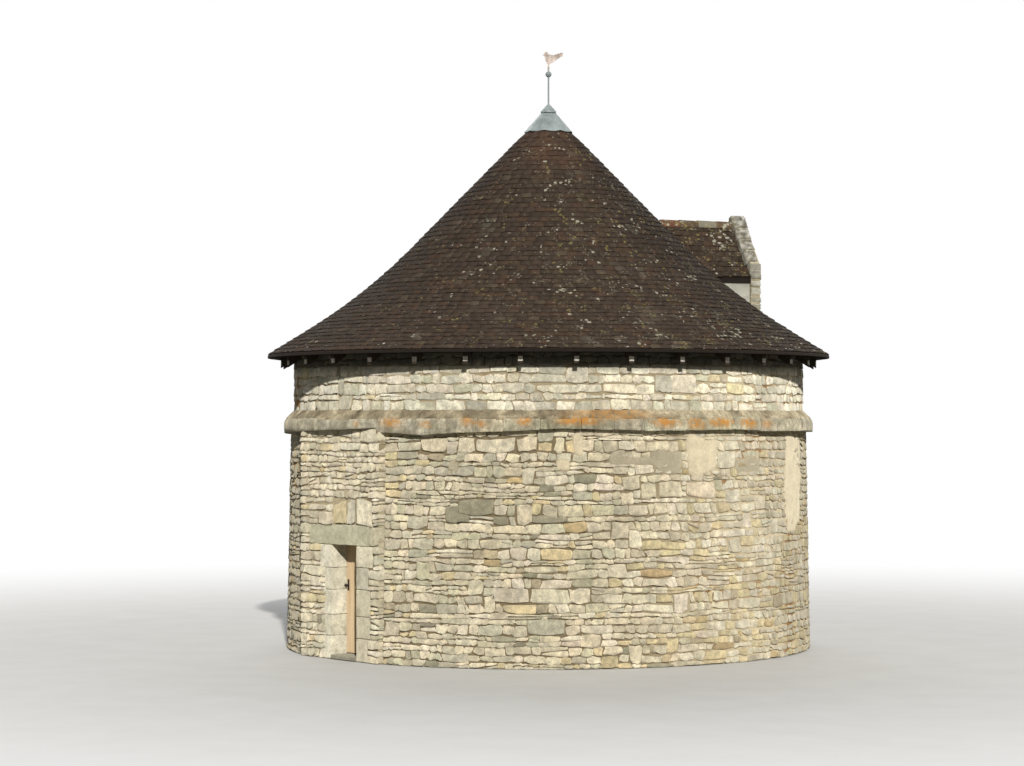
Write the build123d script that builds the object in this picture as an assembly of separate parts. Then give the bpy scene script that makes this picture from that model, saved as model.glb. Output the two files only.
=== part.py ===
from math import cos, hypot, radians, sin, sqrt, tan
import os

from build123d import *

# All sizes are in millimetres. The origin lies on the tower's axis at ground level,
# +Z is up and the doorway faces -Y. A bearing is in degrees from -Y towards +X.
# Stones and tiles stand a little proud of these faces.

# Walls
inner_r = 3300
upper_t = 825
shaft_t = 875
batter = 65
band_z = 3510
wall_top_z = 4720
lower_segments = 8
upper_segments = 4
upper_r = inner_r + upper_t
shaft_r = inner_r + shaft_t
foot_r = shaft_r + batter

# String course
band_reach = 190
band_bed = 240
band_face_h = 215
band_h = 350
band_r = upper_r + band_reach
band_bed_r = upper_r - band_bed

# Flat door bay
bay_proud = 10
bay_inset = 8
bay_y = shaft_r + bay_proud
bay_half = sqrt((band_r - bay_inset) ** 2 - bay_y ** 2)

# Doorway
door_w = 650
door_x = 125
door_head_z = 1760
sill_h = 70
reveal_depth = 280
jamb_w = 280
lintel_len = 1570
lintel_h = 315
splay_w = 180
splay_rise = 140
sill_nose = 40
sill_back = 90
splay_half = door_w / 2 + splay_w
splay_left = door_x - splay_half
splay_right = door_x + splay_half
splay_head_z = door_head_z + splay_rise

# Door leaf
leaf_lap = 45
leaf_head_lap = 40
leaf_t = 40
leaf_clear = 5
leaf_bottom_clear = 10
ledge_t = 25
ledge_h = 130
ledge_end = 45
ledge_foot = 140
ledge_head = 220
leaf_left = door_x - door_w / 2 - leaf_lap
leaf_right = door_x + door_w / 2 + leaf_lap
leaf_top_z = door_head_z + leaf_head_lap
leaf_foot_z = sill_h + leaf_bottom_clear
leaf_outer_y = -bay_y + reveal_depth + leaf_clear
leaf_inner_y = leaf_outer_y + leaf_t
low_ledge_z = leaf_foot_z + ledge_foot
high_ledge_z = leaf_top_z - ledge_head
ledge_zs = (low_ledge_z, (low_ledge_z + high_ledge_z) / 2, high_ledge_z)

# Door hinges
hinge_out = 35
pin_r = 8
pin_gap = 0.5
eye_wall = 7
strap_t = 5
strap_h = 45
strap_end = 225
pin_over = 15
plate_w = 60
plate_h = 110
plate_t = 8
bracket_h = 16
bracket_gap = 1
hinge_x = leaf_right + hinge_out
hinge_y = leaf_inner_y + ledge_t
strap_zs = (low_ledge_z, high_ledge_z)

# Door lock
lock_inset = 80
lock_rise = 1050
lock_plate_w = 46
lock_plate_h = 170
lock_plate_t = 4
knob_r = 22
knob_neck_r = 9
knob_reach = 52
rim_lock_w = 120
rim_lock_h = 90
rim_lock_t = 32
lock_x = leaf_left + lock_inset
lock_z = leaf_foot_z + lock_rise

# Main roof
heel_rise = 281
eave_reach = 455
bend_inset = 314
skirt_deg = 31.8
cone_deg = 45.7
bend_r = 8800
bend_steps = 6
cover_drop = 90
tile_layer = 38
deck_back = 70
cover_segments = 6
eave_r = upper_r + eave_reach
heel_z = wall_top_z + heel_rise

# Rafters
rafter_count = 33
rafter_w = 70
rafter_drop = 244
tail_back = 210
rafter_top_r = 420
first_rafter = 55.4545
rafter_bed = 0.3
heel_gap = 1
king_r = 160
king_h = 490
long_every = 3
rafter_tail_r = eave_r - tail_back

# Dormer
dormer_bearing = 158
gable_inset = 30
gable_t = 160
gable_half = 760
gable_side_h = 625
gable_rise = 865
gable_over = 130
dormer_slope = 1.25
dormer_overhang = 50
dormer_drop = 85
cheek_t = 150
cheek_in = 550
ridge_half = 120
ridge_t = 28
flight_half = 250
sill_rise = 166
flight_h = 600
ledge_side = 90
ledge_reach = 150
ledge_slab_h = 60
dormer_back = 900
gable_back = inner_r - gable_inset
gable_front = gable_back + gable_t
cheek_out = cheek_in + cheek_t
dormer_eave_half = cheek_out + dormer_overhang
ledge_half = flight_half + ledge_side

# Cap, finial and vane
cap_edge_r = 385
cap_lap = 55
cap_lift = 25
cap_t = 12
cap_top_r = 120
cap_rise = 318
collar_r = 128
collar_rim_h = 22
collar_top_r = 26
collar_h = 138
rod_r = 14
rod_h = 497
ball_r = 50
vane_pin_r = 6
vane_pin_h = 106
vane_pin_gap = 0.4
vane_end_gap = 1
vane_foot_gap = 12
vane_sleeve_r = 15
vane_sleeve_h = 60
vane_t = 8
vane_heading = 320
cover_top_r = cap_edge_r - cap_lap


def at_bearing(shape, bearing):
    """Turn a shape built along +X to the given bearing."""
    return Rot(0, 0, bearing - 90) * shape


def ring_sector(points, start, arc):
    """Revolve a radius and height outline through an arc that starts at a bearing."""
    face = Plane.XZ * Polygon(*points, align=None)
    return at_bearing(revolve(face, axis=Axis.Z, revolution_arc=arc), start)


def block(x0, x1, y0, y1, z0, z1):
    """Make a box from its limits."""
    box = Box(x1 - x0, y1 - y0, z1 - z0, align=(Align.MIN, Align.MIN, Align.MIN))
    return Pos(x0, y0, z0) * box


def upright(r, h):
    """Make a cylinder that stands on the origin."""
    return Cylinder(r, h, align=(Align.CENTER, Align.CENTER, Align.MIN))


def prism_along(points, u0, u1):
    """Extrude an outline in width and height outwards from u0 to u1 along +X."""
    face = Plane.YZ * Polygon(*points, align=None)
    return Pos(u0, 0, 0) * extrude(face, amount=u1 - u0, dir=(1, 0, 0))


# Roof outline
def roof_outline():
    """List the roof surface as radius and height from the apex side to the eave."""
    cone = tan(radians(cone_deg))
    skirt = tan(radians(skirt_deg))
    meet_r = inner_r - bend_inset
    meet_z = heel_z + skirt * (upper_r - meet_r)
    reach = bend_r * tan(radians((cone_deg - skirt_deg) / 2))
    start_r = meet_r - reach * cos(radians(cone_deg))
    start_z = meet_z + reach * sin(radians(cone_deg))
    points = [(0, meet_z + cone * meet_r)]
    for step in range(bend_steps + 1):
        angle = cone_deg + (skirt_deg - cone_deg) * step / bend_steps
        dr = sin(radians(cone_deg)) - sin(radians(angle))
        dz = cos(radians(angle)) - cos(radians(cone_deg))
        points.append((start_r + bend_r * dr, start_z - bend_r * dz))
    points.append((eave_r, heel_z - skirt * eave_reach))
    return points


outline = roof_outline()


def roof_z(r):
    """Give the height of the roof surface at a radius."""
    for (r0, z0), (r1, z1) in zip(outline, outline[1:]):
        if r <= r1:
            return z0 + (z1 - z0) * (r - r0) / (r1 - r0)
    return outline[-1][1]


# Heights that follow the roof
flight_sill_z = roof_z(gable_front) + sill_rise
gable_shoulder_z = flight_sill_z + gable_side_h
gable_peak_z = gable_shoulder_z + gable_rise
dormer_ridge_z = gable_peak_z - gable_over
cap_edge_z = roof_z(cap_edge_r) + cap_lift
cap_top_z = cap_edge_z + cap_rise
collar_top_z = cap_top_z + collar_h
ball_z = collar_top_z + rod_h
vane_pin_top_z = ball_z + vane_pin_h
vane_sleeve_z = ball_z + ball_r + vane_foot_gap
cap_fall = (cap_rise - cap_t) / (cap_edge_r + cap_t - cap_top_r)
king_top_z = cap_edge_z + cap_fall * (cap_edge_r - king_r) - rafter_bed
king_foot_z = king_top_z - king_h


def roof_radii(r0, r1):
    """List r0, the outline's corners between r0 and r1, and r1."""
    return [r0] + [r for r, _ in outline if r0 < r < r1] + [r1]


def under_roof(drop):
    """Make the solid that fills the roof below its surface lowered by drop."""
    tops = [(r, roof_z(r) - drop) for r in roof_radii(0, eave_r)]
    return ring_sector(tops + [(eave_r, 0), (0, 0)], 0, 360)


# Walls
def lower_walls():
    """Make the shaft's wall as sectors that stop at the flat door bay."""
    profile = [(inner_r, 0), (foot_r, 0), (shaft_r, band_z), (inner_r, band_z)]
    bay = block(-bay_half, bay_half, -2 * foot_r, 0, 0, band_z)
    arc = 360 / lower_segments
    walls = {}
    for number in range(lower_segments):
        sector = ring_sector(profile, number * arc, arc) - bay
        walls[f"lower_wall_{number + 1}"] = sector
    return walls


def upper_walls():
    """Make the wall behind and above the string course in sectors."""
    band_top = band_z + band_h
    profile = [
        (inner_r, band_z),
        (band_bed_r, band_z),
        (band_bed_r, band_top),
        (upper_r, band_top),
        (upper_r, wall_top_z),
        (inner_r, wall_top_z),
    ]
    arc = 360 / upper_segments
    names = [f"upper_wall_{number + 1}" for number in range(upper_segments)]
    return {name: ring_sector(profile, i * arc, arc) for i, name in enumerate(names)}


def string_course():
    """Make the projecting course with its weathered top in sectors."""
    band_top = band_z + band_h
    profile = [
        (band_bed_r, band_z),
        (band_r, band_z),
        (band_r, band_z + band_face_h),
        (upper_r, band_top),
        (band_bed_r, band_top),
    ]
    arc = 360 / upper_segments
    names = [f"string_course_{number + 1}" for number in range(upper_segments)]
    return {name: ring_sector(profile, i * arc, arc) for i, name in enumerate(names)}


# Doorway
def bay_solid(x0, x1, z0, z1):
    """Fill the bay between its flat face and the round inner wall."""
    drum = Pos(0, 0, z0) * upright(inner_r, z1 - z0)
    return block(x0, x1, -bay_y, -inner_r / 2, z0, z1) - drum


def door_walls():
    """Make the bay's wall beside and over the doorway."""
    rebate_y = -bay_y + reveal_depth
    lintel_top = door_head_z + lintel_h
    lintel_bed = block(-lintel_len / 2, lintel_len / 2, -bay_y, rebate_y, door_head_z, lintel_top)
    reach = door_w / 2 + jamb_w
    jamb_bed = block(door_x - reach, door_x + reach, -bay_y, rebate_y, 0, door_head_z)
    beds = lintel_bed + jamb_bed
    left = bay_solid(-bay_half, splay_left, 0, band_z) - beds
    right = bay_solid(splay_right, bay_half, 0, band_z) - beds
    over = bay_solid(splay_left, splay_right, splay_head_z, band_z) - lintel_bed
    return {"door_wall_left": left, "door_wall_right": right, "door_wall_over": over}


def door_stones():
    """Make the dressed stones round the doorway."""
    rebate_y = -bay_y + reveal_depth
    left = door_x - door_w / 2
    right = door_x + door_w / 2
    lintel_top = door_head_z + lintel_h
    sill_front = -bay_y - sill_nose
    return {
        "door_lintel": block(-lintel_len / 2, lintel_len / 2, -bay_y, rebate_y, door_head_z, lintel_top),
        "door_jamb_left": block(left - jamb_w, left, -bay_y, rebate_y, 0, door_head_z),
        "door_jamb_right": block(right, right + jamb_w, -bay_y, rebate_y, 0, door_head_z),
        "door_sill": block(left, right, sill_front, rebate_y + sill_back, 0, sill_h),
    }


# Door
def door_leaf():
    """Make the leaf as one slab of planks."""
    return block(leaf_left, leaf_right, leaf_outer_y, leaf_inner_y, leaf_foot_z, leaf_top_z)


def door_ledges():
    """Make the three cross boards on the leaf's inner face."""
    left = leaf_left + ledge_end
    right = leaf_right - ledge_end
    rise = ledge_h / 2
    ledges = [block(left, right, leaf_inner_y, hinge_y, z - rise, z + rise) for z in ledge_zs]
    return Compound(children=ledges)


def door_straps():
    """Make the strap hinges with an eye round each pin."""
    bore_r = pin_r + pin_gap
    rise = strap_h / 2
    straps = []
    for z in strap_zs:
        eye = Pos(hinge_x, hinge_y, z) * Cylinder(bore_r + eye_wall, strap_h)
        bar = block(leaf_left + strap_end, hinge_x, hinge_y, hinge_y + strap_t, z - rise, z + rise)
        bore = Pos(hinge_x, hinge_y, z) * Cylinder(bore_r, 2 * strap_h)
        straps.append(bar + eye - bore)
    return Compound(children=straps)


def door_pintles():
    """Make the hinge pins, each on a bracket and a plate against the splay."""
    pintles = []
    for z in strap_zs:
        foot_z = z - strap_h / 2 - bracket_gap
        pin_top = z + strap_h / 2 + pin_over
        pin_h = pin_top - foot_z + bracket_h
        pin = Pos(hinge_x, hinge_y, foot_z - bracket_h) * upright(pin_r, pin_h)
        arm = block(hinge_x, splay_right, hinge_y - pin_r, hinge_y + pin_r, foot_z - bracket_h, foot_z)
        plate_y = hinge_y - plate_w / 2
        plate = block(splay_right - plate_t, splay_right, plate_y, plate_y + plate_w, foot_z - plate_h, foot_z)
        pintles.append(pin + arm + plate)
    return Compound(children=pintles)


def door_lock():
    """Make the outer plate and knob and the rim lock on the inner face."""
    outer = leaf_outer_y
    inner = leaf_inner_y
    half = lock_plate_w / 2
    rise = lock_plate_h / 2
    plate = block(lock_x - half, lock_x + half, outer - lock_plate_t, outer, lock_z - rise, lock_z + rise)
    neck = Pos(lock_x, outer, lock_z) * Rot(90, 0, 0) * upright(knob_neck_r, knob_reach)
    knob = Pos(lock_x, outer - knob_reach, lock_z) * Sphere(knob_r)
    rise = rim_lock_h / 2
    rim = block(leaf_left, leaf_left + rim_lock_w, inner, inner + rim_lock_t, lock_z - rise, lock_z + rise)
    return Compound(children=[plate + neck + knob, rim])


# Roof
def dormer_void(half, u1):
    """Fill the room inside the dormer out to a half width and a distance."""
    top = dormer_ridge_z - dormer_drop
    side = top - dormer_slope * half
    points = [(-half, wall_top_z), (half, wall_top_z), (half, side), (0, top), (-half, side)]
    return at_bearing(prism_along(points, dormer_back, u1), dormer_bearing)


def gable_prism(half, u0, u1):
    """Fill the gable's outline with no window in it."""
    rise = (gable_peak_z - gable_shoulder_z) / gable_half
    peak = gable_peak_z
    shoulder = peak - rise * half
    points = [(-half, wall_top_z), (half, wall_top_z), (half, shoulder), (0, peak), (-half, shoulder)]
    return at_bearing(prism_along(points, u0, u1), dormer_bearing)


def roof_covering():
    """Make the tiled covering in sectors, open where the dormer stands."""
    radii = roof_radii(cover_top_r, eave_r)
    tops = [(r, roof_z(r)) for r in radii]
    deck_r = eave_r - deck_back
    edge = [(eave_r, roof_z(eave_r) - tile_layer), (deck_r, roof_z(deck_r) - tile_layer)]
    unders = [(r, roof_z(r) - cover_drop) for r in reversed(roof_radii(cover_top_r, deck_r))]
    arc = 360 / cover_segments
    start = dormer_bearing - arc / 2
    panels = {}
    for number in range(cover_segments):
        panels[f"roof_tiles_{number + 1}"] = ring_sector(tops + edge + unders, start + number * arc, arc)
    hole = dormer_void(cheek_out, gable_back) + gable_prism(gable_half, gable_back, gable_front)
    panels["roof_tiles_1"] -= hole
    return panels


def rafter(bearing, top_r):
    """Make one rafter with a seat cut for the wall head."""
    half = rafter_w / 2
    radii = roof_radii(top_r, rafter_tail_r)
    tops = [(r, roof_z(hypot(r, half)) - cover_drop - rafter_bed) for r in radii]
    feet = [(r, roof_z(r) - cover_drop - rafter_drop) for r in reversed(radii)]
    face = Plane.XZ * Polygon(*(tops + feet), align=None)
    bar = extrude(face, amount=half, both=True)
    seat_end = upper_r + heel_gap
    seat = block(inner_r - rafter_w, seat_end, -rafter_w, rafter_w, band_z, wall_top_z)
    return at_bearing(bar - seat, bearing)


def rafters():
    """Make every rafter, cut where the dormer's room and gable stand."""
    opening = dormer_void(cheek_in, gable_back) + gable_prism(gable_half, gable_back, gable_front)
    king = Cylinder(king_r + rafter_bed, 2 * king_top_z)
    bars = []
    for number in range(rafter_count):
        bearing = first_rafter + number * 360 / rafter_count
        is_long = number % long_every == 0
        bar = rafter(bearing, king_r / 2 if is_long else rafter_top_r)
        if is_long:
            bar -= king
        bars.extend((bar - opening).solids())
    return Compound(children=bars)


def king_post():
    """Make the round post that the long rafters meet."""
    height = king_top_z - king_foot_z
    return Pos(0, 0, king_foot_z) * upright(king_r, height)


# Dormer
def dormer_gable():
    """Make the stone gable with its flight window."""
    wall = gable_prism(gable_half, gable_back, gable_front)
    sill = flight_sill_z
    window = block(gable_back, gable_front, -flight_half, flight_half, sill, sill + flight_h)
    return wall - at_bearing(window, dormer_bearing)


def dormer_ledge():
    """Make the landing slab below the flight window."""
    top = flight_sill_z
    slab = block(gable_front, gable_front + ledge_reach, -ledge_half, ledge_half, top - ledge_slab_h, top)
    return at_bearing(slab, dormer_bearing)


def dormer_cheek(side, below):
    """Make one cheek wall from the rafters up to the dormer's roof."""
    top = dormer_ridge_z - dormer_drop
    inner_z = top - dormer_slope * cheek_in
    outer_z = top - dormer_slope * cheek_out
    points = [(side * cheek_in, wall_top_z), (side * cheek_out, wall_top_z)]
    points += [(side * cheek_out, outer_z), (side * cheek_in, inner_z)]
    return at_bearing(prism_along(points, dormer_back, gable_back), dormer_bearing) - below


def dormer_slope_slab(side, below):
    """Make one tiled slope of the dormer's roof."""
    eave = dormer_ridge_z - dormer_slope * dormer_eave_half
    half = side * dormer_eave_half
    top = [(0, dormer_ridge_z), (half, eave)]
    points = top + [(r, z - dormer_drop) for r, z in reversed(top)]
    return at_bearing(prism_along(points, dormer_back, gable_back), dormer_bearing) - below


def dormer_ridge(below):
    """Make the ridge tiles along the dormer's roof."""
    side = dormer_ridge_z - dormer_slope * ridge_half
    points = [(0, dormer_ridge_z), (ridge_half, side), (ridge_half, side + ridge_t)]
    points += [(0, dormer_ridge_z + ridge_t), (-ridge_half, side + ridge_t), (-ridge_half, side)]
    return at_bearing(prism_along(points, dormer_back, gable_back), dormer_bearing) - below


# Cap and finial
def roof_cap():
    """Make the sheet cap over the tiles' upper edge."""
    points = [
        (cap_edge_r, cap_edge_z),
        (cap_edge_r + cap_t, cap_edge_z),
        (cap_top_r, cap_top_z),
        (0, cap_top_z),
        (0, cap_top_z - cap_t),
        (cap_top_r - cap_t, cap_top_z - cap_t),
    ]
    return ring_sector(points, 0, 360)


def finial():
    """Make the collar, rod and ball, with the pin that the vane turns on."""
    points = [
        (0, cap_top_z),
        (collar_r, cap_top_z),
        (collar_r, cap_top_z + collar_rim_h),
        (collar_top_r, collar_top_z),
        (rod_r, collar_top_z),
        (rod_r, ball_z),
        (vane_pin_r, ball_z),
        (vane_pin_r, vane_pin_top_z),
        (0, vane_pin_top_z),
    ]
    return ring_sector(points, 0, 360) + Pos(0, 0, ball_z) * Sphere(ball_r)


def bird_outline():
    """List the bird's outline as distance towards its head and height over the sleeve."""
    return [
        (-12, -10), (12, -10), (14, 40), (34, 66), (54, 112), (60, 160), (66, 178),
        (98, 190), (74, 212), (62, 236), (40, 250), (18, 240), (0, 214), (-36, 196),
        (-100, 196), (-170, 222), (-236, 236), (-240, 184), (-176, 146), (-116, 104),
        (-62, 68), (-14, 48),
    ]


def weathervane():
    """Make the bird on its sleeve, with a blind bore over the pin."""
    sleeve_top = vane_sleeve_z + vane_sleeve_h
    outline_points = [(s, sleeve_top + z) for s, z in bird_outline()]
    face = Plane.XZ * Polygon(*outline_points, align=None)
    bird = extrude(face, amount=vane_t / 2, both=True)
    sleeve = Pos(0, 0, vane_sleeve_z) * upright(vane_sleeve_r, vane_sleeve_h)
    bore_h = vane_pin_top_z + vane_end_gap - vane_sleeve_z
    bore = Pos(0, 0, vane_sleeve_z) * upright(vane_pin_r + vane_pin_gap, bore_h)
    return at_bearing(bird, vane_heading) + sleeve - bore


def build_parts():
    """Collect every node under its name."""
    nodes = {}
    nodes.update(lower_walls())
    nodes.update(door_walls())
    nodes.update(door_stones())
    nodes.update(string_course())
    nodes.update(upper_walls())
    nodes.update(roof_covering())
    nodes["rafters"] = rafters()
    nodes["king_post"] = king_post()
    nodes["dormer_gable"] = dormer_gable()
    nodes["dormer_ledge"] = dormer_ledge()
    tile_bed = under_roof(cover_drop)
    tile_top = under_roof(0)
    for name, side in (("left", -1), ("right", 1)):
        nodes[f"dormer_cheek_{name}"] = dormer_cheek(side, tile_bed)
        nodes[f"dormer_roof_{name}"] = dormer_slope_slab(side, tile_top)
    nodes["dormer_ridge"] = dormer_ridge(tile_top)
    nodes["roof_cap"] = roof_cap()
    nodes["finial"] = finial()
    nodes["weathervane"] = weathervane()
    nodes["door_leaf"] = door_leaf()
    nodes["door_ledges"] = door_ledges()
    nodes["door_straps"] = door_straps()
    nodes["door_lock"] = door_lock()
    nodes["door_pintles"] = door_pintles()
    return nodes


os.makedirs("parts", exist_ok=True)
for node, shape in build_parts().items():
    export_step(shape, f"parts/{node}.step")
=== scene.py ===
"""Round stone dovecote: its masonry, tiles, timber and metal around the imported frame.

Lengths are in metres in the frame's own axes: the origin lies on the tower's axis at ground
level, +Z is up and the doorway faces -Y. A bearing is in degrees from -Y towards +X, so it
grows to the right for someone who looks at the wall from outside.
"""

from __future__ import annotations

import logging
import math
from dataclasses import dataclass, field
from enum import Enum
from typing import Callable, Iterable, Sequence

import bmesh
import bpy
import numpy as np
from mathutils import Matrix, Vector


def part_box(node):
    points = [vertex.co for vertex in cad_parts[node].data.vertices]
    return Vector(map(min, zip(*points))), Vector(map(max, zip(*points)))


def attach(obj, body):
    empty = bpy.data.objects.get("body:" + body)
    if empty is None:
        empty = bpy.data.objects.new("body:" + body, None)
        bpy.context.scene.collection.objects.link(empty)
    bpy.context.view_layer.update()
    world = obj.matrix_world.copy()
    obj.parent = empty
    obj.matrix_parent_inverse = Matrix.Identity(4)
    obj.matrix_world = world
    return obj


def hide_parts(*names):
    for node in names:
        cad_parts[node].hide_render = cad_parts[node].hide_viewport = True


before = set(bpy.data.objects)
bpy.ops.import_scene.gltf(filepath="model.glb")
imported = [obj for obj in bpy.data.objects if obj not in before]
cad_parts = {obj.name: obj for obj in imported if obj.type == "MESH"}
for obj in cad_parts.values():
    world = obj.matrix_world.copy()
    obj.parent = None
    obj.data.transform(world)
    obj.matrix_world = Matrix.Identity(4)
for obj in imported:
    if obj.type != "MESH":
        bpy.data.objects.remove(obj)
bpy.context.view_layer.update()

Array = np.ndarray
Colour = tuple[int, int, int]
Draws = np.random.Generator
Material = bpy.types.Material
draws_of = np.random.default_rng
LOG = logging.getLogger("dovecote")
# Heights between which masonry is darkened under the eaves, as painted shade where the eaves' shadow falls, and how
# dark it gets.
EAVE_SHADE_HEIGHTS = (4.45, 4.53)
EAVE_PAINTED_SHADE = 0.84
# Height that stones keep over the ground.
GROUND_GAP = 0.0005
TONE = "tone"
FULL_WHITE = (1, 1, 1, 1)


# Colours of the real finishes, as 8-bit screen colours.


class StoneTone(Enum):
    """The colours that the wall's limestone comes in."""

    CREAM = (231, 221, 195)
    WHITE = (240, 231, 208)
    BEIGE = (221, 211, 185)
    GREY = (214, 207, 184)
    SLATE_GREY = (170, 164, 140)
    GREEN_GREY = (211, 205, 177)
    YELLOW = (226, 211, 172)
    OCHRE = (212, 190, 146)
    PINK = (226, 215, 190)
    BROWN = (197, 183, 155)


CREAM, WHITE, BEIGE, GREY, SLATE_GREY, GREEN_GREY, YELLOW, OCHRE, PINK, BROWN = StoneTone


class TileTone(Enum):
    """The colours that the old plain tiles have weathered to."""

    UMBER = (69, 57, 46)
    SOOT = (62, 52, 43)
    RED_BROWN = (74, 58, 46)
    PLUM = (66, 55, 47)
    PALE = (82, 71, 58)


class MortarTone(Enum):
    """The colours of the mortar, old and new."""

    EARTH = (128, 111, 81)
    SAND = (222, 208, 176)
    RUST = (158, 122, 78)
    GREY = (192, 182, 158)
    RENDER = (228, 216, 188)


def linear(colour: Colour) -> Array:
    """Turn an 8-bit screen colour into linear red, green, blue and an alpha of 1."""
    part = np.append(np.array(colour) / 255, 1)
    return np.where(part <= 0.04045, part / 12.92, ((part + 0.055) / 1.055) ** 2.4)


def tone_table(kinds: Iterable[Enum]) -> Array:
    """List the linear colours of an Enum of tones, one row each."""
    return np.array([linear(kind.value) for kind in kinds])


def blend_tones(value: Array, stops: Sequence[tuple[float, Sequence[float]]]) -> Array:
    """Colour values along straight lines between stops of screen colours."""
    table = np.array([linear(colour) for _, colour in stops])
    return np.stack([np.interp(value, [place for place, _ in stops], part) for part in table.T], axis=-1)


# Noise and small shape functions, all on whole arrays.


def noise(points: Array, size: float, seed: int) -> Array:
    """Give smooth noise from -1 to 1 at points in space.

    Each corner of a cube of the given size has a random value from a hash of its whole-number
    place, and a point blends its cube's eight corners by t * t * (3 - 2 * t) along each axis.

    Args:
        points: Places, with x, y and z on the last axis.
        size: Edge of a cube in metres.
        seed: Picks the random values.

    Returns:
        One value for each point.
    """
    scaled = np.asarray(points, float) / size
    cell = np.floor(scaled)
    part = scaled - cell
    part = part * part * (3 - 2 * part)
    cell = cell.astype(np.int64)
    total = np.zeros(scaled.shape[:-1])
    for corner in range(8):
        step = np.array([corner & 1, corner >> 1 & 1, corner >> 2])
        weight = np.where(step, part, 1 - part).prod(axis=-1)
        mixed = np.bitwise_xor.reduce((cell + step) * (73856093, 19349663, 83492791), axis=-1)
        mixed = (mixed ^ seed * 668265263) & 0xFFFFFFFF
        for shift, factor in ((15, 2246822519), (13, 1274126177), (16, 1)):
            mixed = (mixed ^ mixed >> shift) * factor & 0xFFFFFFFF
        total += weight * (mixed / 2147483648 - 1)
    return total


def line_noise(along: Array, lane: Array | float, size: float, seed: int) -> Array:
    """Give smooth noise along a line, with a separate line for each lane number."""
    along, lane = np.broadcast_arrays(np.asarray(along, float), np.asarray(lane, float))
    points = xyz(along, lane * size * 7, 0 * along)
    return noise(points, size, seed)


def ease(value: Array, low: float, high: float) -> Array:
    """Rise from 0 at low to 1 at high with level ends, as t * t * (3 - 2 * t)."""
    part = np.clip((value - low) / (high - low), 0, 1)
    return part * part * (3 - 2 * part)


def hump(value: Array, low: float, high: float, falls: float, ends: float) -> Array:
    """Rise from 0 at low to 1 at high, and fall again to 0 between falls and ends."""
    return ease(value, low, high) * (1 - ease(value, falls, ends))


def near_turn(bearing: Array) -> Array:
    """Give bearings between -180 and 180 degrees."""
    return (bearing + 180) % 360 - 180


def bearing_turn(bearing: Array | float) -> tuple[Array, Array]:
    """Give x and y of the unit direction at a bearing in degrees."""
    angle = np.radians(bearing)
    return np.sin(angle), -np.cos(angle)


def xyz(x: Array, y: Array, z: Array | float) -> Array:
    """Put three coordinates, spread to one shape, on the last axis."""
    return np.stack(np.broadcast_arrays(x, y, z), axis=-1)


def around(radius: Array, bearing: Array, height: Array) -> Array:
    """Put points at radii, bearings in degrees and heights."""
    x, y = bearing_turn(bearing)
    return xyz(radius * x, radius * y, height)


def turn_to(points: Array, bearing: float) -> Array:
    """Turn points of distance outwards, distance to the right and height to face a bearing."""
    out_x, out_y = bearing_turn(bearing)
    out, across, height = np.moveaxis(points, -1, 0)
    return xyz(out_x * out - out_y * across, out_y * out + out_x * across, height)


# Meshes.


def link(name: str, data: bpy.types.ID) -> bpy.types.Object:
    """Make an object of some data and put it into the scene."""
    made = bpy.data.objects.new(name, data)
    bpy.context.scene.collection.objects.link(made)
    return made


def place_piece(
    piece: bpy.types.Object, slot: str, material: Material, replaced: Sequence[str] = (), body: str = "tower"
) -> None:
    """Dress a piece and tie it to the frame.

    Args:
        piece: The finished piece.
        slot: Name of a material slot; not used.
        material: Its finish.
        replaced: CAD nodes that it stands for.
        body: The CAD body that it moves with.
    """
    piece.data.materials.append(material)
    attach(piece, body)
    if replaced:
        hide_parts(*replaced)
    LOG.info("%s: %d faces", piece.name, len(piece.data.polygons))


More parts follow.
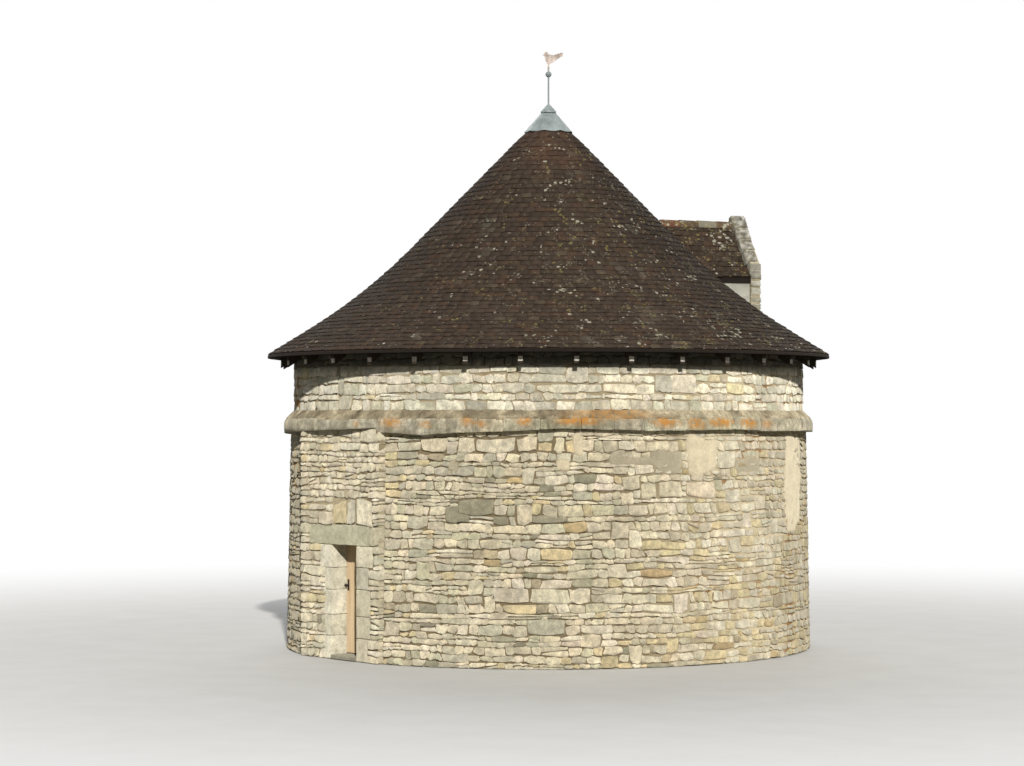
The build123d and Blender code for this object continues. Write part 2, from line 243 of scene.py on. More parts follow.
@dataclass
class MeshStore:
    """Gathers grids and closed loops of points, and turns them into one mesh."""

    points: list[Array] = field(default_factory=list)
    tones: list[Array] = field(default_factory=list)
    polygons: list[Array] = field(default_factory=list)
    count: int = 0

    def _keep(self, points: Array, tones: Array) -> Array:
        """Store the points of n patches of (n, rows, columns, 3), and number them."""
        shape = points.shape[:3]
        if tones.ndim == 2:
            tones = tones[:, None, None, :]
        self.points.append(points.reshape(-1, 3))
        self.tones.append(np.broadcast_to(tones, shape + (4,)).reshape(-1, 4))
        numbers = np.arange(np.prod(shape)).reshape(shape) + self.count
        self.count += int(np.prod(shape))
        return numbers

    def _quads(self, numbers: Array, flip: bool) -> None:
        """Store the squares between neighbouring numbers of each patch."""
        low, high = numbers[:, :-1], numbers[:, 1:]
        quads = np.stack([low[..., :-1], low[..., 1:], high[..., 1:], high[..., :-1]], axis=-1).reshape(-1, 4)
        self.polygons.append(quads[:, ::-1] if flip else quads)

    def add_sheets(self, points: Array, tones: Array, backed: bool = False) -> MeshStore:
        """Add patches whose columns run to the right and rows upwards, seen from outside.

        Args:
            points: Patches of (n, rows, columns, 3).
            tones: Colours of (n, 4) or (n, rows, columns, 4).
            backed: Closes each patch behind with one face through its rim.

        Returns:
            The store.
        """
        numbers = self._keep(points, tones)
        self._quads(numbers, False)
        if backed:
            rim = [numbers[:, 0, :], numbers[:, 1:, -1], numbers[:, -1, -2::-1], numbers[:, -2:0:-1, 0]]
            self.polygons.append(np.concatenate(rim, axis=1)[:, ::-1])
        return self

    def add_loops(self, points: Array, tones: Array) -> MeshStore:
        """Add closed bodies: loops carried through sections, with flat ends and faces outwards.

        Args:
            points: Bodies of (n, sections, loop, 3).
            tones: Colours of (n, 4) or (n, sections, loop, 4).

        Returns:
            The store.
        """
        middle = points.mean(axis=(1, 2), keepdims=True)
        across = np.roll(points, -1, axis=2)[:, :-1] - points[:, :-1]
        flip = bool((np.cross(across, points[:, 1:] - points[:, :-1]) * (points[:, :-1] - middle)).sum() < 0)
        numbers = self._keep(points, tones)
        self._quads(np.concatenate([numbers, numbers[..., :1]], axis=-1), flip)
        for end in (numbers[:, 0, ::-1], numbers[:, -1]):
            self.polygons.append(end[:, ::-1] if flip else end)
        return self

    def build(self, name: str, sharp: float | None = None) -> bpy.types.Object:
        """Make the object, with edges sharp above an angle in degrees, or with flat faces."""
        mesh = bpy.data.meshes.new(name)
        sizes = np.concatenate([np.full(len(p), p.shape[1]) for p in self.polygons])
        corners = np.concatenate([p.ravel() for p in self.polygons])
        mesh.vertices.add(self.count)
        mesh.vertices.foreach_set("co", np.concatenate(self.points).astype(np.float32).ravel())
        mesh.loops.add(len(corners))
        mesh.loops.foreach_set("vertex_index", corners.astype(np.int32))
        mesh.polygons.add(len(sizes))
        for key, values in (("loop_start", np.cumsum(sizes) - sizes), ("loop_total", sizes)):
            mesh.polygons.foreach_set(key, values.astype(np.int32))
        mesh.update(calc_edges=True)
        mesh.validate()
        tone = mesh.attributes.new(TONE, "FLOAT_COLOR", "POINT")
        tone.data.foreach_set("color", np.concatenate(self.tones).astype(np.float32).ravel())
        if sharp is not None:
            mesh.shade_smooth()
            mesh.set_sharp_from_angle(angle=math.radians(sharp))
        return link(name, mesh)

    def place(self, name: str, slot: str, material: Material, sharp: float | None = None, *replaced: str) -> None:
        """Make a piece of the tower and tie it to the frame, as build and place_piece say."""
        place_piece(self.build(name, sharp), slot, material, replaced)


def dress_nodes(names: Iterable[str], material: Material) -> None:
    """Give CAD nodes that stay in view their finish."""
    for name in names:
        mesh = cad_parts[name].data
        mesh.materials.clear()
        mesh.materials.append(material)
        LOG.info("%s: %s", name, material.name)


# Faces that stones and mortar lie on.


@dataclass(frozen=True)
class RoundFace:
    """A wall face round the axis whose radius changes evenly with height."""

    foot_r: float
    top_r: float
    foot_z: float
    top_z: float

    @property
    def mean_r(self) -> float:
        """The radius at which lengths along the face are measured."""
        return (self.foot_r + self.top_r) / 2

    def along(self, bearing: float) -> float:
        """Give the length along the face at a bearing."""
        return math.radians(bearing) * self.mean_r

    def bearings(self, along: Array) -> Array:
        """Give the bearing at lengths along the face."""
        return np.degrees(along / self.mean_r)

    def place(self, along: Array, height: Array, out: Array) -> Array:
        """Put points at a length along the face, a height and a distance outwards."""
        part = (height - self.foot_z) / (self.top_z - self.foot_z)
        radius = self.foot_r + (self.top_r - self.foot_r) * part + out
        return around(radius, self.bearings(along), height)


@dataclass(frozen=True)
class FlatFace:
    """An upright flat face at a distance from the axis, facing a bearing."""

    distance: float
    bearing: float

    def bearings(self, along: Array) -> Array:
        """Give the bearing at lengths along the face."""
        return self.bearing + np.degrees(np.arctan2(along, self.distance))

    def place(self, along: Array, height: Array, out: Array) -> Array:
        """Put points at a length to the right, a height and a distance outwards."""
        return turn_to(xyz(self.distance + out, along, height), self.bearing)


# Rubble masonry.


@dataclass(frozen=True)
class Spot:
    """A part of a face: its limits along it, its foot and top, and the tone of what lies there."""

    start: float
    end: float
    foot: float
    top: float
    tone: Enum | None = None


def spots(rows: Iterable[tuple], along: Callable[[float], float] = float) -> tuple[Spot, ...]:
    """Read a table of spots, with its first two columns turned into lengths by `along`."""
    return tuple(Spot(along(start), along(end), *rest) for start, end, *rest in rows)


@dataclass
class Coursing:
    """Lays rubble in courses between level beds.

    Beds sway by smooth noise and joints slant. Some stones rise through two courses, some are
    split into wedges, and where a slow noise is high a course is split into two thin ones.
    """

    start: float
    end: float
    levels: tuple[float, ...]
    seed: int
    course: tuple[float, float] = (0.08, 0.152)
    length: float = 0.18
    spread: float = 0.4
    shortest: float = 0.085
    longest: float = 0.48
    sway: float = 0.04
    slant: float = 0.032
    tall_share: float = 0.045
    wedge_share: float = 0.03
    thin_cut: float = 0.58
    tall_lengths: tuple[float, float] = (0.17, 0.42)
    split_from: float = 0.085
    wedge_swing: tuple[tuple[float, float], tuple[float, float]] = ((0.12, -0.28), (0.28, -0.12))
    thin_swing: tuple[float, float] = (-0.14, 0.14)
    keep_outs: tuple[Spot, ...] = ()
    features: tuple[Spot, ...] = ()
    half_width: Callable[[float], float] | None = None

    def __post_init__(self) -> None:
        """Start the random draws."""
        self.rng = draws_of(self.seed)

    def _draw_beds(self) -> tuple[Array, Array]:
        """Draw the height of each bed and how far it may sway."""
        beds, fixed = [self.levels[0]], [True]
        for low, high in zip(self.levels, self.levels[1:]):
            steps = []
            while sum(steps) < high - low:
                steps.append(self.rng.uniform(*self.course))
            beds += list(low + np.cumsum(steps) * (high - low) / sum(steps))
            fixed += [False] * (len(steps) - 1) + [True]
        beds = np.array(beds)
        gaps = np.diff(beds)
        room = np.zeros(len(beds))
        room[1:-1] = np.minimum(self.sway, 0.42 * np.minimum(gaps[:-1], gaps[1:]))
        room[np.array(fixed)] = 0
        return beds, room

    def _cuts(self, start: float, end: float, height: float) -> Array:
        """Cut a run into stone lengths that suit the course's height."""
        places = [start]
        usual = self.length * (0.62 + 3.4 * height)
        while True:
            draw = math.exp(self.rng.normal(math.log(usual), self.spread))
            place = places[-1] + min(max(draw, self.shortest), self.longest)
            if place > end - self.shortest:
                return np.array(places + [end])
            places.append(place)

    def _free_runs(self, limits: tuple[float, float], taken: list[tuple[float, float]]) -> list:
        """List the runs of a course that nothing has taken yet."""
        runs = []
        place = limits[0]
        for low, high in sorted(taken) + [(limits[1], limits[1])]:
            if low - place > 0.04:
                runs.append((place, low))
            place = max(place, high)
        return runs

    def lay(self) -> tuple[Array, Array]:
        """Lay the whole face.

        A row of the working table holds the bed below and the parts of a course that the lower
        corners stand above it, the same for the upper corners from the right, the four lengths
        along the face, and the tone number.

        Returns:
            Each stone's corners as (n, 4, 2), length along and height, from the lower left round to
            the upper left, and its tone number, -1 where it is free.
        """
        beds, room = self._draw_beds()
        count = len(beds) - 1
        taken: list[list[tuple[float, float]]] = [[] for _ in range(count + 1)]
        rows: list[tuple[float, ...]] = []
        for item in self.features:
            low = int(np.abs(beds - item.foot).argmin())
            high = min(max(low + 1, int(np.abs(beds - item.top).argmin())), count)
            for number in range(low, high):
                taken[number].append((item.start, item.end))
            ends = np.array([item.start, item.end, item.end, item.start]) + self.rng.uniform(-0.018, 0.018, 4)
            rows.append((low, 0, 0, high, 0, 0, *ends, list(StoneTone).index(item.tone)))
        for gap in self.keep_outs:
            for number, (low, high) in enumerate(zip(beds, beds[1:])):
                if min(high, gap.top) - max(low, gap.foot) > 0.3 * (high - low):
                    taken[number].append((gap.start, gap.end))
        for number in range(count):
            height = beds[number + 1] - beds[number]
            limits = (self.start, self.end)
            if self.half_width is not None:
                half = self.half_width(beds[number + 1])
                limits = (-half, half)
            for run in self._free_runs(limits, taken[number]):
                cuts = self._cuts(*run, height)
                lean = self.rng.uniform(-self.slant, self.slant, (2, len(cuts)))
                lean[:, [0, -1]] = 0
                low, high = cuts + lean
                thin = line_noise(cuts, number, 0.9, self.seed + 3) > self.thin_cut
                chance = self.rng.random((len(cuts), 2))
                offset = self.rng.uniform(-0.05, 0.05, len(cuts)) * (thin & np.roll(thin, 1))
                offset[[0, -1]] = 0
                for i, (start, end) in enumerate(zip(high, high[1:])):
                    ends = np.array([low[i], low[i + 1], end, start])
                    above = number + 1
                    fits = room[above] > 0 and self.tall_lengths[0] < end - start < self.tall_lengths[1]
                    fits = fits and all(b <= start or a >= end for a, b in taken[above])
                    wedge = chance[i, 0] > 1 - self.wedge_share
                    if fits and chance[i, 0] < self.tall_share:
                        taken[above].append((start, end))
                        rows.append((number, 0, 0, number + 2, 0, 0, *ends, -1))
                    elif height > self.split_from and (wedge or thin[i]):
                        swing = self.wedge_swing if wedge else (self.thin_swing[:1] * 2, self.thin_swing[1:] * 2)
                        swing = self.rng.uniform(*swing)
                        left, right = 0.5 + swing * (1 if chance[i, 1] < 0.5 else -1)
                        moved = offset[[i, i + 1, i + 1, i]]
                        rows.append((number, 0, 0, number, right, left, *(ends - moved), -1))
                        rows.append((number, left, right, above, 0, 0, *(ends + moved), -1))
                    else:
                        rows.append((number, 0, 0, above, 0, 0, *ends, -1))
        return self._corners(np.array(rows), beds, room)

    def _corners(self, rows: Array, beds: Array, room: Array) -> tuple[Array, Array]:
        """Work out the height of each stone's corners from the swaying beds."""

        def bed(number: Array, along: Array) -> Array:
            """Height of a bed at a length along it."""
            number = np.clip(number, 0, len(beds) - 1)
            slow = line_noise(along, number, 1.5, self.seed + 7)
            quick = line_noise(along, number, 0.32, self.seed + 9)
            return beds[number] + room[number] * (0.65 * slow + 0.6 * quick)

        along = rows[:, 6:10]
        number = rows[:, [0, 0, 3, 3]].astype(int)
        low = bed(number, along)
        height = low + rows[:, [1, 2, 4, 5]] * (bed(number + 1, along) - low)
        return np.stack([along, height], axis=-1), rows[:, 10].astype(int)


@dataclass(frozen=True)
class Relief:
    """How far stones stand out of their bed and how their edges are worn."""

    proud: float = 0.025
    proud_spread: float = 0.006
    edge: float = 0.016
    top_drop: float = 0.012
    side_drop: float = 0.006
    bulge: float = 0.004
    bed_joint: float = 0.002
    side_joint: float = 0.001
    corner: float = 0.024
    sink: float = 0.006
    under: float = 0.02
    wobble: float = 0.0056
    tilt: float = 0.004


def side_returns(corners: Array, limit: float, depth: float) -> Array:
    """Give the depth of each stone's left and right side: deep for those beyond a limit."""
    along = corners[..., 0]
    return depth * np.stack([along.min(axis=1) < -limit, along.max(axis=1) > limit], axis=1)


def corner_weights(u: Array, v: Array) -> Array:
    """Weigh four corners, from the lower left round to the upper left, at u and v from -1 to 1."""
    left, right, low, high = (1 - u) / 2, (1 + u) / 2, (1 - v) / 2, (1 + v) / 2
    return np.stack([left * low, right * low, right * high, left * high], axis=-1)


def pillow_stones(
    face: RoundFace | FlatFace, corners: Array, relief: Relief, rng: Draws, returns: Array | None = None
) -> tuple[Array, Array]:
    """Shape each stone of a face as a worn pillow that overhangs its lower joint.

    A stone is a 6 by 7 grid over its corners: a crowned middle, a rounded rim, and a skirt in the
    mortar. With u and v from -1 to 1, its outline is drawn in by u * (1 - c * |v|^3) and
    v * (1 - c * |u|^3), where c comes from each corner's own wear.

    Args:
        face: The face that the stones lie on.
        corners: Corners of (n, 4, 2) from Coursing.
        relief: How they stand out.
        rng: Source of the wear.
        returns: Depth of each stone's left and right side, of (n, 2).

    Returns:
        Points of (n, 6, 7, 3), and how deep in a joint each lies, which weighs the painted joint shade.
    """
    count = len(corners)
    half_l = np.maximum((corners[:, [1, 2], 0] - corners[:, [0, 3], 0]).mean(axis=1) / 2, 0.02)
    half_h = np.maximum((corners[:, [3, 2], 1] - corners[:, [0, 1], 1]).mean(axis=1) / 2, 0.012)
    rim_u = 1 - relief.side_joint / 2 / half_l
    rim_v = 1 - relief.bed_joint / 2 / half_h
    in_u = rim_u - np.minimum(relief.edge / half_l, 0.45 * rim_u)
    in_v = rim_v - np.minimum(relief.edge / half_h, 0.42 * rim_v)
    out_u = rim_u + 0.005 / half_l
    u = np.stack([-out_u, -rim_u, -in_u, 0 * in_u, in_u, rim_u, out_u], axis=1)
    v = np.stack([-rim_v - relief.under / half_h, -rim_v, -in_v, in_v, rim_v, rim_v + 0.006 / half_h], axis=1)
    u, v = np.broadcast_arrays(u[:, None, :], v[:, :, None])
    cut = relief.corner * rng.uniform(0.15, 1, (count, 4)) * np.array([1, 1, 0.7, 0.7])
    cut = cut * (0.7 + half_h / 0.18)[:, None]
    cut = np.einsum("nrck,nk->nrc", corner_weights(u, v), cut)
    round_u = np.minimum(cut / half_l[:, None, None], 0.28) * np.abs(v) ** 3
    round_v = np.minimum(cut / half_h[:, None, None], 0.28) * np.abs(u) ** 3
    flat = np.einsum("nrck,nkd->nrcd", corner_weights(u * (1 - round_u), v * (1 - round_v)), corners)
    shift = rng.uniform((-0.006, -0.02), (0.015, 0.008), (count, 2)) * np.minimum(1, half_h / 0.05)[:, None]
    flat[..., 1] += (shift[:, :1, None] * (1 - v) + shift[:, 1:, None] * (1 + v)) / 2
    jitter = rng.normal(0, relief.wobble, (count, 6, 7, 2)) * (0.5 + half_h / 0.07)[:, None, None, None]
    jitter[:, [0, -1]] = jitter[:, [1, -2]]
    jitter[:, :, [0, -1]] = jitter[:, :, [1, -2]]
    flat = flat + jitter
    lean = relief.tilt * rng.uniform(-1, 1, (count, 2))
    out = relief.proud + relief.proud_spread * rng.uniform(-1, 1, (count, 1, 1))
    out = out + relief.bulge * (1 - u ** 2) * (1 - v ** 2) + rng.normal(0, 0.0012, u.shape)
    out = out + lean[:, :1, None] * u + (lean[:, 1:, None] - relief.tilt) * v
    out[:, 4, 1:6] -= relief.top_drop * rng.uniform(0.6, 1.3, (count, 5))
    out[:, 1:5, [1, 5]] -= relief.side_drop * rng.uniform(0.6, 1.3, (count, 4, 2))
    out[:, 5] = 0.002
    out[:, 1:, [0, 6]] = -0.003
    out[:, 0] = -relief.sink
    if returns is not None:
        for side, column in ((0, 0), (1, 6)):
            depth = returns[:, side, None]
            out[:, :, column] = np.where(depth > 0, -depth, out[:, :, column])
    # Weights of painted joint shade: full on the skirt under the stone, less on its lower rim, sides and top.
    deep = np.zeros((6, 7))
    deep[5] = 0.2
    deep[:, [0, 6]] = 0.22
    deep[1, 1:6] = 0.34
    deep[0] = 1
    return face.place(flat[..., 0], flat[..., 1], out), deep * rng.uniform(0.4, 1, (count, 1, 1))


def stone_weights(bearing: Array, height: Array) -> Array:
    """Say how common each stone tone is: greyer right of the doorway, yellower low at the right.

    Args:
        bearing: Bearings in degrees.
        height: Heights above ground.

    Returns:
        Weights of (n, tones), in StoneTone's order.
    """
    turn = near_turn(bearing)
    grey = hump(turn, 8, 20, 42, 72) * (1 - 0.6 * ease(height, 3.2, 3.9))
    gold = hump(turn, 58, 86, 150, 175) * (1 - 0.8 * ease(height, 1.4, 3.6))
    bare = ease(height, 3.5, 3.8)
    table = (
        (3, -0.6, 1, 0), (1.5, -0.6, 0.9, 1.6), (1.6, 0.9, -0.5, 0), (0.5, 1.5, -0.45, 0.9),
        (0.04, 0.2, -0.03, 0), (0.15, 0.9, -0.12, 0.2), (0.6, -0.1, 2, -0.4), (0.05, 0, 0.3, -0.04),
        (0.2, 0, 0.3, 0), (0.06, 0.06, 0.08, -0.04),
    )
    return np.stack([plain + a * grey + b * gold + c * bare for plain, a, b, c in table], axis=-1)


def draw_tones(weights: Array, fixed: Array, table: Array, rng: Draws, vary: float) -> Array:
    """Pick a colour for each stone or tile and vary it a little.

    Args:
        weights: Weights of (n, tones).
        fixed: Tone numbers that are already known, or -1.
        table: Linear colours of (tones, 4).
        rng: Source of the draws.
        vary: Spread of the brightness.

    Returns:
        Colours of (n, 4), whose alpha is a random number from 0 to 1.
    """
    sums = np.cumsum(weights, axis=1)
    pick = (rng.random((len(weights), 1)) * sums[:, -1:] > sums).sum(axis=1)
    colours = table[np.where(fixed >= 0, fixed, pick)]
    bright = np.exp(rng.normal(0, vary, (len(pick), 1)) + rng.normal(0, 0.01, (len(pick), 3)))
    colours[:, :3] *= bright
    colours[:, :3] *= np.minimum(1, 0.86 / colours[:, :3].max(axis=1, keepdims=True))
    colours[:, 3] = rng.random(len(pick))
    return colours


def joint_shade_tones(bearing: Array, height: Array) -> Array:
    """Colour the painted shade on the shaded side of joints, over dark earth, and redder right of the middle and high
    up.
    """
    turn = near_turn(bearing)
    warm = hump(turn, 46, 84, 150, 175)
    warm = np.maximum(warm, 0.6 * ease(height, 3.7, 3.9))
    patchy = noise(xyz(turn * 0.073, height, 0 * turn), 0.45, 6)
    warm = np.clip(warm * (1 + 0.4 * patchy) + 0.5 * ease(patchy, 0.1, 0.5), 0, 1)[..., None]
    dark, red = linear((48, 38, 25)), linear((118, 84, 50))
    left = ease(-turn, -8, 2)[..., None] * (linear((92, 82, 62)) - dark)
    return dark + warm * (red - dark) + left


def paint_joint_shade(colours: Array, deep: Array, joint: Array) -> Array:
    """Give each point of a stone its colour, mixed towards the joint's colour, as painted shade, where it lies deep.
    """
    colours, joint = colours[:, None, None, :], joint[:, None, None, :]
    tones = colours + deep[..., None] * (joint - colours)
    tones[..., 3] = colours[..., 3]
    return tones


def eave_shade(points: Array) -> Array:
    """Say how much painted shade darkens masonry under the eaves: 1 up to the lower height and darker above it."""
    return 1 - EAVE_PAINTED_SHADE * ease(points[..., 2:], *EAVE_SHADE_HEIGHTS)


@dataclass
class MortarBed:
    """The mortar between and over the stones, as one uneven skin.

    It is a low level plus two sizes of noise, raised where the pointing is full, and raised
    over the stones inside each patch.
    """

    face: RoundFace | FlatFace
    start: float
    end: float
    foot: float
    top: float
    seed: int
    spacing: float = 0.04
    patches: tuple[Spot, ...] = ()

    def sheet(self) -> tuple[Array, Array]:
        """Work out the skin.

        Returns:
            Points of (1, rows, columns, 3) and their colours.
        """
        along = np.linspace(self.start, self.end, int((self.end - self.start) / self.spacing) + 2)
        height = np.linspace(self.foot, self.top, int((self.top - self.foot) / self.spacing) + 2)
        along, height = np.meshgrid(along, height)
        flat = self.face.place(along, height, 0 * along)
        turn = near_turn(self.face.bearings(along))
        full = hump(turn, 56, 98, 150, 185)
        full = np.maximum(full, 0.45 * ease(np.abs(turn - 8), 120, 170))
        full = np.maximum(full, 0.55 * ease(height, 3.7, 3.8))
        full = np.maximum(full, 0.55 * ease(-turn, -12, -2) + 0.75 * hump(-turn, 15, 25, 80, 120))
        coarse, fine = noise(flat, 0.11, self.seed), noise(flat, 0.05, self.seed + 1)
        out = 0.004 + 0.011 * full + (0.0035 + 0.002 * full) * coarse + 0.0025 * fine
        warm = (0.5 + 0.5 * noise(flat, 0.55, self.seed + 2) + 0.25 * coarse) * (0.3 + 0.7 * full)
        warm = ease(warm, 0.45, 0.9)[..., None]
        earth, sand, rust = (linear(tone.value) for tone in list(MortarTone)[:3])
        tones = earth + (sand - earth) * (0.15 + 0.75 * full[..., None])
        tones = tones + (rust - tones) * warm
        for patch in self.patches:
            across = (2 * along - patch.start - patch.end) / (patch.end - patch.start)
            up = (2 * height - patch.foot - patch.top) / (patch.top - patch.foot)
            ragged = 0.22 * noise(flat, 0.2, self.seed + 4) + 0.14 * coarse + 0.1 * fine
            mask = 1 - ease((across ** 4 + up ** 4) ** 0.25 + ragged, 0.84, 1)
            out = out + mask * (0.034 + 0.004 * coarse - out)
            tones = tones + mask[..., None] * (linear(patch.tone.value) * (1 + 0.1 * coarse[..., None]) - tones)
        out = np.maximum(out, 0.0015)
        out[[0, -1], :] = out[:, [0, -1]] = -0.004
        # The skin is darkened high up by painted eave shade.
        return self.face.place(along, height, out)[None], (tones * eave_shade(flat))[None]


# Blocks, boards and other carried shapes.


def soft_box(low: Sequence[float], high: Sequence[float], axis: int, edge: float, step: float) -> Array:
    """Make a box with softened edges as a loop carried along one axis.

    The loop is the box's outline with cut corners. The first and last sections are drawn in.

    Args:
        low: Lowest corner.
        high: Highest corner.
        axis: 0, 1 or 2, the axis that the loop is carried along.
        edge: Size of the softened edge.
        step: Longest side of the loop and longest gap between sections.

    Returns:
        Points of (sections, loop, 3).
    """
    low, high = np.asarray(low, float), np.asarray(high, float)
    first, second = [a for a in range(3) if a != axis]
    middle, half = (low + high) / 2, (high - low) / 2
    a, b = half[first], half[second]
    outline = np.array([(a, -b + edge), (a, b - edge), (a - edge, b), (-a + edge, b)])
    outline = np.concatenate([outline, -outline])
    loop = []
    for start, side in zip(outline, np.roll(outline, -1, axis=0) - outline):
        pieces = max(1, math.ceil(np.hypot(*side) / step))
        loop.append(start + side * (np.arange(pieces) / pieces)[:, None])
    loop = np.concatenate(loop)
    inner = max(2, math.ceil((2 * half[axis] - 2 * edge) / step) + 1)
    places = np.linspace(low[axis] + edge, high[axis] - edge, inner)
    places = np.concatenate([[low[axis]], places, [high[axis]]])
    shrink = np.ones((len(places), 2))
    shrink[[0, -1]] = [1 - edge / a, 1 - edge / b]
    points = np.zeros((len(places), len(loop), 3))
    points[..., first] = middle[first] + loop[:, 0] * shrink[:, :1]
    points[..., second] = middle[second] + loop[:, 1] * shrink[:, 1:]
    points[..., axis] = places[:, None]
    return points


def weather(points: Array, amount: float, size: float, seed: int) -> Array:
    """Move points by smooth noise in space, as far as `amount` along each axis."""
    shift = [noise(points, size, seed + i) + 0.5 * noise(points, size / 2.6, seed + 3 + i) for i in range(3)]
    return points + amount * 0.7 * np.stack(shift, axis=-1)


# Shader trees.


@dataclass(frozen=True)
class Wire:
    """One output of a node. Sums and products of wires are Math nodes."""

    sketch: Sketch
    node: bpy.types.Node
    key: str | int = 0

    def __getitem__(self, key: str | int) -> Wire:
        """Give another output of the same node."""
        return Wire(self.sketch, self.node, key)

    def __add__(self, other: Wire | float) -> Wire:
        """Give the sum of two values."""
        return self.sketch.math("ADD", self, other)

    def __mul__(self, other: Wire | float) -> Wire:
        """Give the product of two values."""
        return self.sketch.math("MULTIPLY", self, other)

    def remap(self, low: float, high: float, to_low: float = 0.0, to_high: float = 1.0) -> Wire:
        """Stretch the value's range smoothly, held at its ends."""
        inputs = {"Value": self, "From Min": low, "From Max": high, "To Min": to_low, "To Max": to_high}
        return self.sketch.add("MapRange", inputs, interpolation_type="SMOOTHSTEP")

    def tint(self, factor: Wire, tone: Colour) -> Wire:
        """Mix the colour with a screen colour."""
        return self.sketch.mix(factor, self, linear(tone))


class Sketch:
    """Adds nodes to one tree and joins them."""

    def __init__(self, tree: bpy.types.NodeTree) -> None:
        """Start on a tree."""
        self.tree = tree

    def feed(self, node: bpy.types.Node, inputs: dict) -> None:
        """Give each named or numbered input of a node a wire or a value."""
        for key, value in inputs.items():
            if isinstance(value, Wire):
                self.tree.links.new(value.node.outputs[value.key], node.inputs[key])
            else:
                node.inputs[key].default_value = value

    def add(self, kind: str, inputs: dict | None = None, **settings: object) -> Wire:
        """Add a node.

        Args:
            kind: Its type, without the words ShaderNode.
            inputs: A wire or a value for each named or numbered input.
            settings: Its properties.

        Returns:
            A wire from its first output.
        """
        node = self.tree.nodes.new("ShaderNode" + kind)
        for name, value in settings.items():
            setattr(node, name, value)
        self.feed(node, inputs or {})
        return Wire(self, node)

    def noise(self, vector: Wire, scale: Wire | float, detail: float = 3.0, rough: float = 0.55) -> Wire:
        """Add noise from 0 to 1 at a scale in waves per metre."""
        return self.add("TexNoise", {"Vector": vector, "Scale": scale, "Detail": detail, "Roughness": rough})

    def math(self, operation: str, first: Wire | float, second: Wire | float) -> Wire:
        """Add one sum of two values."""
        return self.add("Math", {0: first, 1: second}, operation=operation)

    def mix(self, factor: Wire | float, first: object, second: object, blend: str = "MIX") -> Wire:
        """Mix two colours."""
        return self.add("Mix", {0: factor, 6: first, 7: second}, data_type="RGBA", blend_type=blend)[2]

    def scale(self, vector: Wire, factors: Sequence[float]) -> Wire:
        """Stretch a pattern's coordinates."""
        return self.add("Mapping", {"Vector": vector, "Scale": factors})

    def ramp(self, value: Wire, stops: Sequence[tuple[float, Colour]]) -> Wire:
        """Colour a value with a ramp between two screen colours."""
        wire = self.add("ValToRGB", {"Fac": value})
        for element, (place, colour) in zip(wire.node.color_ramp.elements, stops):
            element.position = place
            element.color = linear(colour)
        return wire


